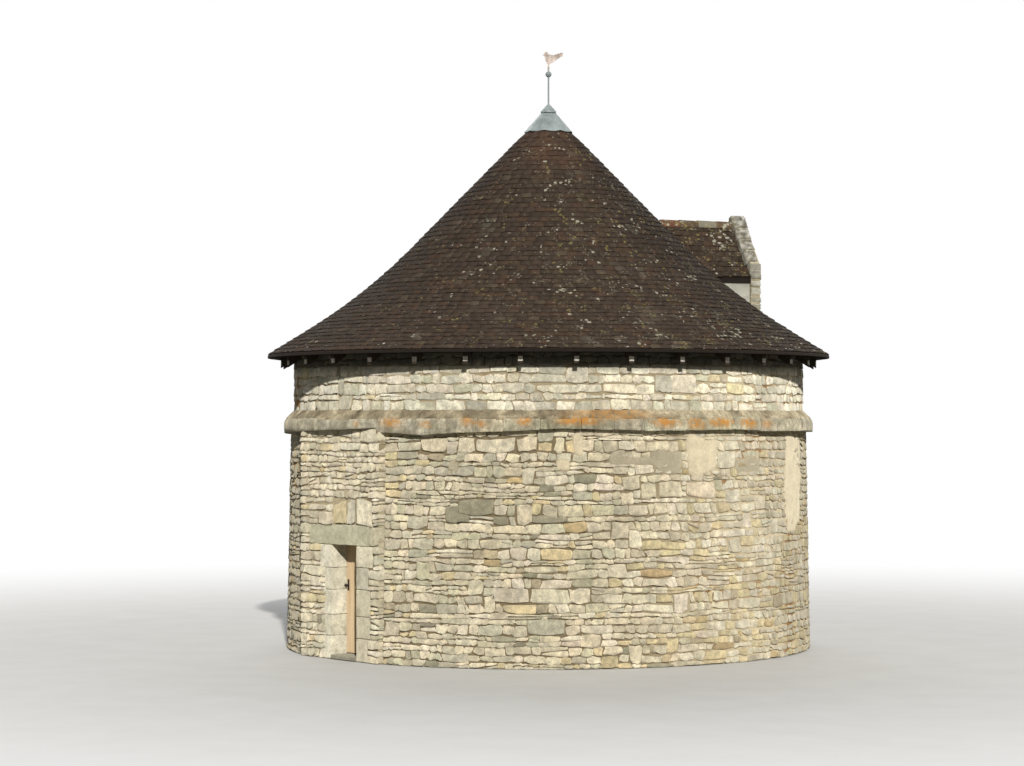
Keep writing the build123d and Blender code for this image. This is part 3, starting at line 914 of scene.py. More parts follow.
@dataclass(frozen=True)
class SharedEffects:
    """The effects that several finishes share, each built once as a node group."""

    def _new(self, name: str, size: float, *outputs: str, **more: float) -> tuple[Sketch, Wire, bpy.types.Node]:
        """Start a group with a Vector input, number inputs and number outputs."""
        tree = bpy.data.node_groups.new(name, "ShaderNodeTree")
        tree.interface.new_socket("Vector", in_out="INPUT", socket_type="NodeSocketVector")
        for key, value in {"Size": size, **more}.items():
            socket = tree.interface.new_socket(key, in_out="INPUT", socket_type="NodeSocketFloat")
            socket.default_value = value
        for key in outputs:
            tree.interface.new_socket(key, in_out="OUTPUT", socket_type="NodeSocketFloat")
        sketch = Sketch(tree)
        return sketch, Wire(sketch, tree.nodes.new("NodeGroupInput")), tree.nodes.new("NodeGroupOutput")

    def build(self) -> None:
        """Build every shared effect."""
        for effect in (self._grain, self._growth, self._streaks, self._timber, self._wear):
            effect()

    def _grain(self) -> None:
        """Grain: worn mineral surface from three sizes of noise, as a shade and a height."""
        sketch, given, out = self._new("Grain", 12, "Shade", "Height")
        vector, size = given["Vector"], given["Size"]
        broad = sketch.noise(vector, size, 4, 0.6)
        fine = sketch.noise(vector, size * 6, 3, 0.6)
        pits = sketch.noise(vector, size * 2.3, 2, 0.5).remap(0.3, 0.46)
        sketch.feed(out, {"Shade": (broad + fine) * 0.5, "Height": broad * 0.5 + fine * 0.22 + pits * 0.28})

    def _growth(self) -> None:
        """Growth: round colonies of lichen or moss where a broad noise lets them live."""
        sketch, given, out = self._new("Growth", 9, "Mask", Cover=0.5)
        vector, size = given["Vector"], given["Size"]
        warp = sketch.add("TexNoise", {"Vector": vector, "Scale": size * 1.7})["Color"]
        bent = sketch.add("VectorMath", {0: warp, 1: (0.5, 0.5, 0.5)}, operation="SUBTRACT")
        bent = sketch.add("VectorMath", {0: bent, 3: 0.06}, operation="SCALE")
        moved = sketch.add("VectorMath", {0: vector, 1: bent}, operation="ADD")
        cells = sketch.add("TexVoronoi", {"Vector": moved, "Scale": size, "Randomness": 1})
        chance = sketch.add("SeparateColor", {"Color": cells["Color"]})
        broad = sketch.noise(vector, size * 0.16, 2)
        alive = chance * 0.5 + broad
        limit = sketch.math("SUBTRACT", 1.25, given["Cover"])
        radius = sketch.math("SUBTRACT", alive, limit).remap(0, 0.25, 0, 0.5)
        edge = sketch.math("SUBTRACT", radius, cells)
        sketch.feed(out, {"Mask": edge.remap(0, 0.1)})

    def _streaks(self) -> None:
        """Streaks: long upright marks that rain leaves below an edge."""
        sketch, given, out = self._new("Streaks", 9, "Mask")
        marks = sketch.noise(sketch.scale(given["Vector"], (1, 1, 0.12)), given["Size"], 4, 0.6)
        sketch.feed(out, {"Mask": marks.remap(0.46, 0.68)})

    def _timber(self) -> None:
        """Timber: rings cut lengthwise, stretched along the vector's z, as a shade and a height."""
        sketch, given, out = self._new("Timber", 22, "Shade", "Height")
        long = sketch.scale(given["Vector"], (1, 1, 0.07))
        rings = sketch.noise(long, given["Size"], 4, 0.62)
        fibres = sketch.noise(long, given["Size"] * 9, 2, 0.5)
        shade = rings * 0.7 + fibres * 0.3
        sketch.feed(out, {"Shade": shade, "Height": sketch.math("SUBTRACT", 1, shade)})

    def _wear(self) -> None:
        """Wear: bare, rubbed edges where the surface turns sharply outwards."""
        sketch, given, out = self._new("Wear", 30, "Mask")
        turn = sketch.add("NewGeometry")["Pointiness"]
        patchy = sketch.noise(given["Vector"], given["Size"])
        sketch.feed(out, {"Mask": turn.remap(0.52, 0.6) * patchy.remap(0.35, 0.6)})


class Surface(Sketch):
    """A material's tree, with its shader and its Object coordinates."""

    def __init__(self, name: str) -> None:
        """Start a material."""
        self.material = bpy.data.materials.new(name)
        self.material.use_nodes = True
        super().__init__(self.material.node_tree)
        self.tree.nodes.clear()
        self.shader = self.add("BsdfPrincipled")
        self.output = self.add("OutputMaterial", {"Surface": self.shader})
        self.where = self.add("TexCoord")["Object"]

    def effect(self, name: str, **inputs: object) -> Wire:
        """Place a shared effect with this finish's own values."""
        node = self.tree.nodes.new("ShaderNodeGroup")
        node.node_tree = bpy.data.node_groups[name]
        self.feed(node, {"Vector": self.where, **inputs})
        return Wire(self, node)

    def tone(self) -> Wire:
        """Read the piece's own colours, whose Alpha is a chance."""
        return self.add("Attribute", attribute_name=TONE, attribute_type="GEOMETRY")

    def grained(self, colour: Wire, size: float, low: float, high: float) -> tuple[Wire, Wire]:
        """Shade a colour with mineral grain.

        Args:
            colour: The colour before it.
            size: Scale of the grain.
            low: Factor in its dark parts.
            high: Factor in its light parts.

        Returns:
            The shaded colour, and the grain with its Shade and Height.
        """
        grain = self.effect("Grain", Size=size)
        shade = grain["Shade"].remap(0.3, 0.7, low, high)
        grey = self.add("CombineColor", {0: shade, 1: shade, 2: shade})
        return self.mix(1, colour, grey, "MULTIPLY"), grain

    def finish(
        self, colour: Wire, rough: Wire | float, height: Wire, depth: float, metal: float = 0.0,
        specular: float = 0.35, matt: float = 1.0,
    ) -> Material:
        """Join a finish to its shader.

        Args:
            colour: Base colour.
            rough: Roughness.
            height: Height for the bump.
            depth: Bump distance in metres.
            metal: Metallic.
            specular: Specular level.
            matt: Diffuse roughness.

        Returns:
            The material.
        """
        bump = self.add("Bump", {"Height": height, "Distance": depth, "Strength": 0.6})
        inputs = {"Base Color": colour, "Normal": bump, "Roughness": rough, "Metallic": metal}
        self.feed(self.shader.node, {**inputs, "Specular IOR Level": specular, "Diffuse Roughness": matt})
        return self.material


@dataclass(frozen=True)
class StoneFinish:
    """Limestone in its own tones, with stains, lichen and grain."""

    name: str
    stain: float = 0.42
    lichen: float = 0.3
    grain_size: float = 11.0
    depth: float = 0.006
    shades: tuple[float, float] = (0.62, 1.28)
    streaks: float = 0.0
    orange: float = 0.0

    def build(self) -> Material:
        """Build the material."""
        surface = Surface(self.name)
        where, tone = surface.where, surface.tone()
        chance = tone["Alpha"]
        colour, grain = surface.grained(tone, self.grain_size, *self.shades)
        cloud = surface.noise(where, 2.6, 6, 0.7).remap(0.42, 0.7, 0, self.stain)
        colour = colour.tint(cloud, (150, 143, 120))
        dirt = surface.noise(where, 9, 6, 0.75).remap(0.5, 0.7, 0, 0.9 * self.stain)
        colour = colour.tint(dirt, (148, 140, 116))
        warm = surface.noise(surface.scale(where, (1, 1, 1.3)), 6.7).remap(0.58, 0.74)
        colour = colour.tint(warm * chance.remap(0.35, 1, 0, 0.16), (222, 194, 146))
        colour = colour.tint(surface.effect("Growth", Size=26, Cover=0.36) * self.lichen, (128, 126, 110))
        if self.streaks:
            colour = colour.tint(surface.effect("Streaks", Size=10) * self.streaks, (116, 106, 84))
        if self.orange:
            patchy = surface.noise(where, 17, 5, 0.75).remap(0.38, 0.54)
            colour = colour.tint(patchy * chance * self.orange, (206, 146, 62))
        rough = grain["Shade"].remap(0.3, 0.7, 0.82, 0.95)
        return surface.finish(colour, rough, grain["Height"], self.depth, specular=0.2)


@dataclass(frozen=True)
class MortarFinish:
    """Lime mortar in the skin's own tones, sandy and pitted."""

    name: str

    def build(self) -> Material:
        """Build the material."""
        surface = Surface(self.name)
        colour, grain = surface.grained(surface.tone(), 24, 0.8, 1.08)
        return surface.finish(colour, 0.95, grain["Height"], 0.008, specular=0.15)


@dataclass(frozen=True)
class PlainMasonry:
    """A lime-washed rubble face seen inside: faint stones under a thin coat."""

    name: str
    light: Colour = (206, 196, 168)
    dark: Colour = (158, 146, 118)
    stones: float = 4.2

    def build(self) -> Material:
        """Build the material."""
        surface = Surface(self.name)
        where = surface.where
        inputs = {"Vector": surface.scale(where, (1, 1, 2)), "Scale": self.stones, "Randomness": 0.9}
        joints = surface.add("TexVoronoi", inputs, feature="DISTANCE_TO_EDGE")["Distance"]
        raised = joints.remap(0.01, 0.09)
        coat = surface.noise(where, 1.3, 5, 0.6).remap(0.35, 0.65)
        colour = surface.mix(coat, linear(self.dark), linear(self.light))
        colour = colour.tint(joints.remap(0.01, 0.09, 0.32, 0), self.dark)
        colour, grain = surface.grained(colour, 14, 0.92, 1.05)
        return surface.finish(colour, 0.93, raised + grain["Height"] * 0.6, 0.012, specular=0.15)


@dataclass(frozen=True)
class TileFinish:
    """Old plain tiles in their own tones, with small pale and yellow lichen spots and moss."""

    name: str
    lichen: float = 0.27
    moss: float = 0.22

    def build(self) -> Material:
        """Build the material."""
        surface = Surface(self.name)
        where, tone = surface.where, surface.tone()
        colour, grain = surface.grained(tone, 14, 0.74, 1.2)
        dusty = surface.noise(where, 0.9, 5, 0.6).remap(0.5, 0.75, 0, 0.12)
        colour = colour.tint(dusty, (108, 92, 80))
        for size, cover, strength, growth, place in (
            (7, self.moss, 0.4, (88, 82, 52), (3.1, 8.7, 1.9)),
            (18, self.lichen - 0.01, 0.7, (142, 130, 80), (7.3, 2.9, 4.1)),
            (27, self.lichen + 0.06, 0.6, (136, 128, 108), (1.7, 5.2, 3.3)),
            (16, self.lichen - 0.02, 0.85, (182, 178, 160), (0, 0, 0)),
            (7, self.lichen - 0.17, 0.7, (146, 140, 120), (9.1, 0.4, 6.6)),
        ):
            moved = surface.add("Mapping", {"Vector": where, "Location": place})
            alive = tone["Alpha"] * 0.17 + cover
            mask = surface.effect("Growth", Vector=moved, Size=size, Cover=alive)
            colour = colour.tint(mask * strength, growth)
        return surface.finish(colour, 0.86, grain["Height"], 0.003, specular=0.2, matt=0)


@dataclass(frozen=True)
class TimberFinish:
    """Sawn or hewn timber with its grain along one axis, and with pale rafter ends painted as sunlit if asked."""

    name: str
    light: Colour
    dark: Colour
    grain_size: float = 22.0
    turn: tuple[float, float, float] = (0.0, 0.0, 0.0)
    rough: float = 0.8
    own_tone: bool = False
    lit_end_from: float | None = None

    def _paint_lit_ends(self, surface: Surface, colour: Wire) -> Wire:
        """Whiten what lies beyond a distance from the axis, between the rafter ends' heights: pale end grain with
        painted sunlight where the sun reaches below the eaves.
        """
        flat = surface.scale(surface.where, (1, 1, 0))
        reach = surface.add("VectorMath", {0: flat}, operation="LENGTH")["Value"]
        bare = reach.remap(self.lit_end_from, self.lit_end_from + 0.006)
        height = surface.add("SeparateXYZ", {"Vector": surface.where})["Z"]
        bare = bare * height.remap(4.545, 4.56)
        return colour.tint(bare * height.remap(4.615, 4.63, 1, 0), (236, 232, 222))

    def build(self) -> Material:
        """Build the material."""
        surface = Surface(self.name)
        turned = surface.add("Mapping", {"Vector": surface.where, "Rotation": self.turn})
        grain = surface.effect("Timber", Vector=turned, Size=self.grain_size)
        colour = surface.ramp(grain["Shade"], [(0.34, self.dark), (0.66, self.light)])
        if self.own_tone:
            colour = surface.mix(1, colour, surface.tone(), "MULTIPLY")
        if self.lit_end_from is not None:
            colour = self._paint_lit_ends(surface, colour)
        colour = colour.tint(surface.effect("Wear", Size=18) * 0.3, self.light)
        return surface.finish(colour, self.rough, grain["Height"], 0.0025, specular=0.3)


@dataclass(frozen=True)
class MetalFinish:
    """Weathered sheet or wrought metal with dull patches and rubbed edges."""

    name: str
    light: Colour
    dark: Colour
    rust: Colour
    metal: float = 0.7
    rust_cover: float = 0.45
    rough: tuple[float, float] = (0.45, 0.75)

    def build(self) -> Material:
        """Build the material."""
        surface = Surface(self.name)
        grain = surface.effect("Grain", Size=18)
        cloud = surface.noise(surface.where, 5, 5, 0.65)
        colour = surface.ramp(cloud, [(0.35, self.dark), (0.65, self.light)])
        colour = colour.tint(surface.effect("Growth", Size=34, Cover=self.rust_cover) * 0.8, self.rust)
        colour = colour.tint(surface.effect("Wear", Size=40) * 0.5, self.light)
        rough = cloud.remap(0.35, 0.65, self.rough[1], self.rough[0])
        return surface.finish(colour, rough, grain["Height"], 0.0012, self.metal, 0.5)


# The tower's sub-assemblies.


@dataclass
class Walls:
    """The rubble facing of the shaft, the door bay and the upper wall, with its mortar."""

    doorway: Doorway
    foot_r: float = 4.24
    shaft_r: float = 4.175
    upper_r: float = 4.125
    band_z: float = 3.51
    facing_top: float = 3.552
    upper_foot: float = 3.808
    upper_top: float = 4.735
    bay_y: float = 4.185
    bay_half: float = 1.0178
    bay_lap: float = 0.016
    bay_return: float = 0.175
    bay_edge_bearing: float = 14.15
    tuck_z: float = 3.455
    tuck_r: float = 4.302
    filling_r: float = 4.085
    filling_levels: tuple[float, float] = (4.69, 4.93)
    washed: tuple[float, float, float] = (1.0, 1.03, 1.09)

    @property
    def shaft(self) -> RoundFace:
        """The shaft's battered face."""
        return RoundFace(self.foot_r, self.shaft_r, 0, self.band_z)

    @property
    def upper(self) -> RoundFace:
        """The face above the string course."""
        return RoundFace(self.upper_r, self.upper_r, self.band_z, self.upper_top)

    def _facing(
        self, name: str, face: RoundFace | FlatFace, stones: Array, tones: Array, finish: Material, rng: Draws,
        returns: Array | None = None, relief: Relief = Relief(),
    ) -> None:
        """Shape, colour and place the stones of one piece."""
        middle = stones.mean(axis=1)
        bearing, height = face.bearings(middle[:, 0]), middle[:, 1]
        colours = draw_tones(stone_weights(bearing, height), tones, tone_table(StoneTone), rng, 0.09)
        # fade is painted shade: stones below the string course darken towards the right from bearing 60 and towards
        # the left from bearing 290.
        fade = 0.04 + 0.08 * ease(bearing, 60, 100) + 0.22 * ease(bearing, 96, 116)
        fade = fade * (1 - ease(bearing, 150, 200)) + 0.36 * ease(bearing, 290, 325)
        rain = 1 + 0.09 * hump(bearing, 25, 48, 140, 180)
        washed = rain[:, None] * np.array(self.washed)
        colours[:, :3] *= np.where(height[:, None] > self.band_z, washed, (1 - fade)[:, None])
        points, deep = pillow_stones(face, stones, relief, rng, returns)
        reach = np.where(points[..., 2] > self.tuck_z, self.tuck_r, np.inf) / np.hypot(points[..., 0], points[..., 1])
        points[..., :2] *= np.minimum(1, reach)[..., None]
        points[..., 2] = np.maximum(points[..., 2], GROUND_GAP)
        # worn makes the painted joint shade stronger from bearing 48 to 150 and weaker high up.
        worn = 1 + 0.8 * hump(bearing, 48, 60, 120, 150)
        worn = worn * (1 - 0.3 * ease(height, 3.7, 3.8))
        deep = np.minimum(deep * worn[:, None, None], 1)
        colours = paint_joint_shade(colours, deep, joint_shade_tones(bearing, height)) * eave_shade(points)
        MeshStore().add_sheets(points, colours, backed=True).place(name, "rubble_stone", finish, 60)

    def _shaft_features(self) -> tuple[Spot, ...]:
        """List the shaft's large stones by bearing, height and tone."""
        rows = (
            (23, 28.9, 3.26, 3.41, PINK), (31.3, 35, 3.26, 3.4, CREAM),
            (35.2, 43.4, 3.25, 3.41, WHITE), (43.6, 47.7, 3.27, 3.44, CREAM),
            (48.1, 50.7, 3.27, 3.38, YELLOW), (51.1, 53.5, 3.25, 3.41, CREAM),
            (31.4, 39, 2.33, 2.57, SLATE_GREY), (28.8, 33.8, 2.2, 2.37, SLATE_GREY),
            (39.2, 46.1, 0.91, 1.21, GREY), (46.3, 54.3, 0.94, 1.17, GREY),
            (54.3, 58.7, 0.93, 1.17, GREY), (45.7, 53.3, 0.54, 0.71, GREY),
            (46.6, 53.9, 2.13, 2.22, SLATE_GREY), (46.9, 50.4, 2.38, 2.52, YELLOW),
            (37, 40.4, 1.5, 1.66, OCHRE), (34.6, 36.8, 1.66, 1.78, BROWN),
            (87.5, 92.1, 2.94, 3.18, WHITE), (69, 72.5, 2.55, 2.74, CREAM),
            (72.8, 78.3, 2.53, 2.7, CREAM), (79.3, 86.6, 2.52, 2.69, CREAM),
            (89.4, 94, 2.42, 2.61, WHITE), (62, 65.9, 1.34, 1.58, WHITE),
            (76, 79.9, 0.87, 1.04, WHITE), (68.9, 76, 1.31, 1.47, OCHRE),
            (14.5, 18.4, 0.38, 0.66, PINK),
        )
        return spots(rows, self.shaft.along)

    def _patches(self) -> tuple[Spot, ...]:
        """List the shaft's patches of mortar by bearing, height and tone."""
        tone = MortarTone
        rows = (
            (78.7, 87.8, 2.86, 3.5, tone.RENDER), (71.3, 78.8, 2.87, 3.25, tone.GREY),
            (92.1, 100.6, 2.86, 3.14, tone.GREY), (61.7, 72.6, 3.00, 3.15, tone.GREY),
            (54.9, 57.4, 3.1, 3.5, tone.RENDER), (51.3, 54.5, 2.91, 3.13, tone.RENDER),
            (29, 31.6, 2.9, 3.08, tone.GREY), (110.2, 121.8, 1.96, 3.46, tone.RENDER),
        )
        return spots(rows, self.shaft.along)

    def _bed(self, name: str, mortar: Material, *beds: MortarBed) -> None:
        """Place the skins of some beds as one piece."""
        store = MeshStore()
        for bed in beds:
            store.add_sheets(*bed.sheet())
        store.place(name, "rubble_stone", mortar, 80)

    def build_shaft(self, stone: Material, mortar: Material) -> None:
        """Lay the shaft's round face."""
        face = self.shaft
        start, end = face.along(self.bay_edge_bearing), face.along(360 - self.bay_edge_bearing)
        stones, tones = Coursing(start, end, (0, self.facing_top), 11, features=self._shaft_features()).lay()
        rng = draws_of(12)
        half = face.along(180)
        front = stones[:, :, 0].mean(axis=1) < half
        for name, part in (("shaft_facing_front", front), ("shaft_facing_back", ~front)):
            self._facing(name, face, stones[part], tones[part], stone, rng)
        for name, low, high in (("front", start, half), ("back", half, end)):
            bed = MortarBed(face, low - 0.03, high + 0.03, 0.002, self.facing_top, 13, patches=self._patches())
            self._bed(f"shaft_mortar_{name}", mortar, bed)

    def build_bay(self, stone: Material, mortar: Material) -> None:
        """Lay the flat door bay, whose end stones turn its corners."""
        face = FlatFace(self.bay_y, 0)
        edge = self.bay_half + self.bay_lap
        half, head, top = self.doorway.lintel_half, self.doorway.head, self.doorway.lintel_top
        keep_outs = spots((
            (-half - 0.005, half + 0.005, head, top), (-0.47, 0, 1.4, head), (-0.36, 0, 0, 1.4),
            (0, 0.885, 1.44, head), (0, 0.76, 1.1, 1.44), (0, 0.82, 0.35, 1.1), (0, 0.74, 0, 0.35),
        ))
        features = spots((
            (-0.157, 0.187, top, 2.48, YELLOW), (0.187, 0.448, top, 2.48, GREY),
            (0.448, 0.861, top, 2.48, GREY), (-0.56, -0.157, top, 2.26, PINK),
            (0.8, edge, 1.8, top, GREEN_GREY), (0.552, edge, 3.38, 3.55, CREAM),
        ))
        levels = (0, 0.35, 1.1, 1.42, head, top, self.facing_top)
        laid = Coursing(-edge, edge, levels, 21, length=0.19, thin_cut=0.7, keep_outs=keep_outs, features=features)
        stones, tones = laid.lay()
        returns = side_returns(stones, edge - 0.02, self.bay_return)
        rng = draws_of(22)
        self._facing("bay_facing", face, stones, tones, stone, rng, returns, Relief(proud=0.022))
        reach = self.bay_half + 0.002
        limits = (
            (-reach, reach, top, self.facing_top), (-reach, -half, head, top), (half, reach, head, top),
            (-reach, -0.35, 0.002, head), (0.72, reach, 0.002, head),
        )
        self._bed("bay_mortar", mortar, *(MortarBed(face, *limit, 23) for limit in limits))

    def build_upper(self, stone: Material, mortar: Material) -> None:
        """Lay the wall above the string course, and fill the gaps between the rafters over it."""
        face = self.upper
        rows = (
            (53.6, 58.1, 4.26, 4.45, WHITE), (50.5, 56, 4.08, 4.24, GREY),
            (56, 61, 4.07, 4.24, GREY), (61.2, 68.3, 4.08, 4.2, CREAM),
            (57.7, 61, 3.89, 4.06, GREY), (61.7, 67, 3.89, 4.07, WHITE),
            (76.5, 82.5, 4.12, 4.34, PINK), (72.5, 76.3, 4.14, 4.32, GREY),
        )
        start = face.along(-130)
        end = start + face.along(360)
        coursing = Coursing(
            start, end, (self.upper_foot, self.upper_top), 31, course=(0.12, 0.19), length=0.205, shortest=0.12,
            sway=0.026, slant=0.026, thin_cut=0.9, wedge_share=0, features=spots(rows, face.along),
        )
        stones, tones = coursing.lay()
        self._facing("upper_facing", face, stones, tones, stone, draws_of(32))
        pointing = MortarBed(face, start, end, self.upper_foot, self.upper_top, 33)
        filling = RoundFace(self.filling_r, self.filling_r, *self.filling_levels)
        start = filling.along(-130)
        between = MortarBed(filling, start, start + filling.along(360), *self.filling_levels, 34)
        self._bed("upper_mortar", mortar, pointing, between)


@dataclass
class StringCourse:
    """The projecting course: single slabs with an uneven lower edge and a rough top."""

    bed_r: float = 3.9
    face_r: float = 4.313
    face_top: float = 3.698
    top_r: float = 4.135
    top_z: float = 3.832
    slab: tuple[float, float] = (0.38, 0.62)
    gap: float = 0.05
    sections: int = 9
    bay_limits: tuple[float, float] = (-42.0, 12.95)
    lower_edge: tuple[tuple[float, float], ...] = (
        (-130, 3.5), (-60, 3.47), (-40, 3.45), (-10, 3.505), (12.8, 3.552), (13, 3.484),
        (24, 3.446), (31, 3.49), (42.5, 3.513), (52.2, 3.552), (68, 3.52), (91, 3.53),
        (101, 3.51), (140, 3.494), (180, 3.515), (230, 3.5),
    )
    lichen: tuple[tuple[float, ...], ...] = (
        (7.4, 1, 3.62, 0.05, 0.5), (16.5, 2.2, 3.65, 0.06, 0.8), (25, 1.2, 3.62, 0.05, 0.6),
        (33.6, 1.3, 3.665, 0.05, 0.9), (36.4, 1.2, 3.62, 0.05, 0.7), (45.2, 1.5, 3.665, 0.05, 0.9),
        (56, 4.2, 3.665, 0.06, 0.9), (62.5, 8.5, 3.77, 0.09, 0.55), (74, 3, 3.64, 0.07, 0.9),
        (81, 2, 3.62, 0.08, 0.9), (87.5, 3, 3.64, 0.07, 1), (95, 2.5, 3.63, 0.07, 0.9),
        (101, 2, 3.62, 0.07, 0.6), (27.7, 0.9, 3.88, 0.05, 0.7), (30, 0.9, 3.9, 0.05, 0.7),
    )

    def _lower(self, bearing: Array) -> Array:
        """Give the height of the lower edge at bearings."""
        table = np.array(self.lower_edge)
        return np.interp((bearing + 130) % 360 - 130, table[:, 0], table[:, 1])

    def _growth(self, points: Array) -> Array:
        """Say how strongly orange lichen grows at points: the most of any listed spot."""
        bearing = np.degrees(np.arctan2(points[..., 0], -points[..., 1]))
        table = np.array(self.lichen)
        across = (bearing[..., None] - table[:, 0]) / table[:, 1]
        up = (points[..., 2:] - table[:, 2]) / table[:, 3]
        return (table[:, 4] * (1 - ease(np.hypot(across, up), 0.5, 1.5))).max(axis=-1)

    def _slab_points(self, starts: Array, ends: Array, rng: Draws) -> Array:
        """Carry the slab's outline along its arc, drawn in at both ends.

        Args:
            starts: Bearing of each slab's left end.
            ends: Bearing of each slab's right end.
            rng: Source of the differences between slabs.

        Returns:
            Points of (n, sections, 12, 3).
        """
        count = len(starts)
        part = np.concatenate([[0, 0.03], np.linspace(0.15, 0.85, self.sections - 4), [0.97, 1]])
        bearing = (starts + self.gap)[:, None] + (ends - starts - 2 * self.gap)[:, None] * part
        draw_in = np.zeros(self.sections)
        draw_in[[0, -1]] = 0.007
        face = self.face_r + rng.normal(0, 0.004, (count, 1)) - draw_in
        lower = self._lower(bearing) + rng.normal(0, 0.004, (count, 1)) + draw_in
        face_top = self.face_top + rng.normal(0, 0.006, (count, 1)) - draw_in
        middle = (lower + face_top) / 2
        slope = (self.top_z - face_top) / (face - self.top_r)
        outline = [
            (self.bed_r, lower), (4.1, lower), (face - 0.012, lower), (face, lower + 0.012),
            (face + 0.002, middle - 0.04), (face + 0.003, middle + 0.02), (face - 0.003, face_top - 0.04),
            (face - 0.024, face_top - 0.004), (face - 0.07, face_top + 0.05 * slope),
            (self.top_r, self.top_z), (4.02, self.top_z), (self.bed_r, self.top_z),
        ]
        radius = np.stack([r + 0 * face for r, _ in outline], axis=-1)
        height = np.stack([z + 0 * face for _, z in outline], axis=-1)
        points = around(radius, bearing[..., None], height)
        smooth = (bearing > self.bay_limits[0]) & (bearing < self.bay_limits[1])
        rough = np.where(smooth, 0.0016, 0.0055)[..., None, None]
        return points + rough * (weather(points, 1, 0.13, 41) - points)

    def build(self, slab: Material, weathering: Material) -> None:
        """Build the slabs and the rough mortar on their sloping top."""
        rng = draws_of(40)
        cuts = [13]
        while cuts[-1] < 13 + 360 - 3:
            longer = 1.5 if cuts[-1] > 313 or 66 < cuts[-1] < 130 else 1
            cuts.append(cuts[-1] + longer * math.degrees(rng.uniform(*self.slab) / self.face_r))
        cuts = np.array(cuts)
        cuts = 13 + (cuts - 13) * 360 / (cuts[-1] - 13)
        starts, ends = cuts[:-1], cuts[1:]
        centre = ((starts + ends) / 2 + 130) % 360 - 130
        weights = np.tile([0.2, 0, 2.4, 2, 0.05, 1.4, 0, 0, 0, 0.1], (len(centre), 1))
        weights[(centre > self.bay_limits[0]) & (centre < self.bay_limits[1])] = [0, 0, 1, 2, 0, 0, 0, 0, 0, 0]
        colours = draw_tones(weights, np.full(len(centre), -1), tone_table(StoneTone), rng, 0.04)
        points = self._slab_points(starts, ends, rng)
        mottle = 0.765 + 0.17 * noise(points, 0.2, 46) - 0.07 * ease(-centre, -20, -5)[:, None, None]
        right = hump(centre, 60, 75, 120, 135)
        pale = right[:, None, None] * (1 - ease(points[..., 2], 3.57, 3.64))
        tones = colours[:, None, None] * (mottle + 0.24 * pale)[..., None]
        tones[..., 3] = self._growth(points)
        store = MeshStore()
        store.add_loops(points, tones)
        nodes = [f"string_course_{number}" for number in range(1, 5)]
        store.place("string_course_slabs", "dressed_stone", slab, 50, *nodes)
        self._build_weathering(weathering)

    def _build_weathering(self, weathering: Material) -> None:
        """Make the rough top: a straight slope from the slabs' edge up to the wall, once round.

        Noise of two sizes lifts it along the slope's normal.
        """
        bearing, part = np.meshgrid(np.linspace(-180, 180, 1200), np.linspace(0, 1, 10))
        start_r, start_z = self.face_r - 0.02, self.face_top - 0.006
        end_r, end_z = self.top_r - 0.02, self.top_z + 0.03
        run, rise = end_r - start_r, end_z - start_z
        slope = math.hypot(run, rise)
        radius, height = start_r + run * part, start_z + rise * part
        along = xyz(np.radians(bearing) * self.face_r, part * slope, 0 * part)
        lumps = noise(along, 0.11, 43) * 0.5 + noise(along, 0.075, 44) * 0.6
        lift = 0.004 + 0.003 * np.clip(lumps + 0.3, 0, 1.5) * np.sin(np.pi * np.clip(part + 0.12, 0, 1))
        lift[0] = -0.012
        lift[-1] = 0
        radius = radius + lift * rise / slope
        height = height - lift * run / slope
        points = around(radius, bearing, height)
        stops = ((-0.8, (112, 101, 82)), (0, (148, 135, 110)), (0.8, (200, 187, 158)))
        clean = 0.6 * hump(bearing, 60, 76, 120, 140)
        tones = blend_tones(0.8 * noise(along, 0.16, 45) + clean, stops)
        tones[..., 3] = self._growth(points)
        store = MeshStore().add_sheets(points[None], tones[None])
        store.place("string_course_weathering", "dressed_stone", weathering, 80)


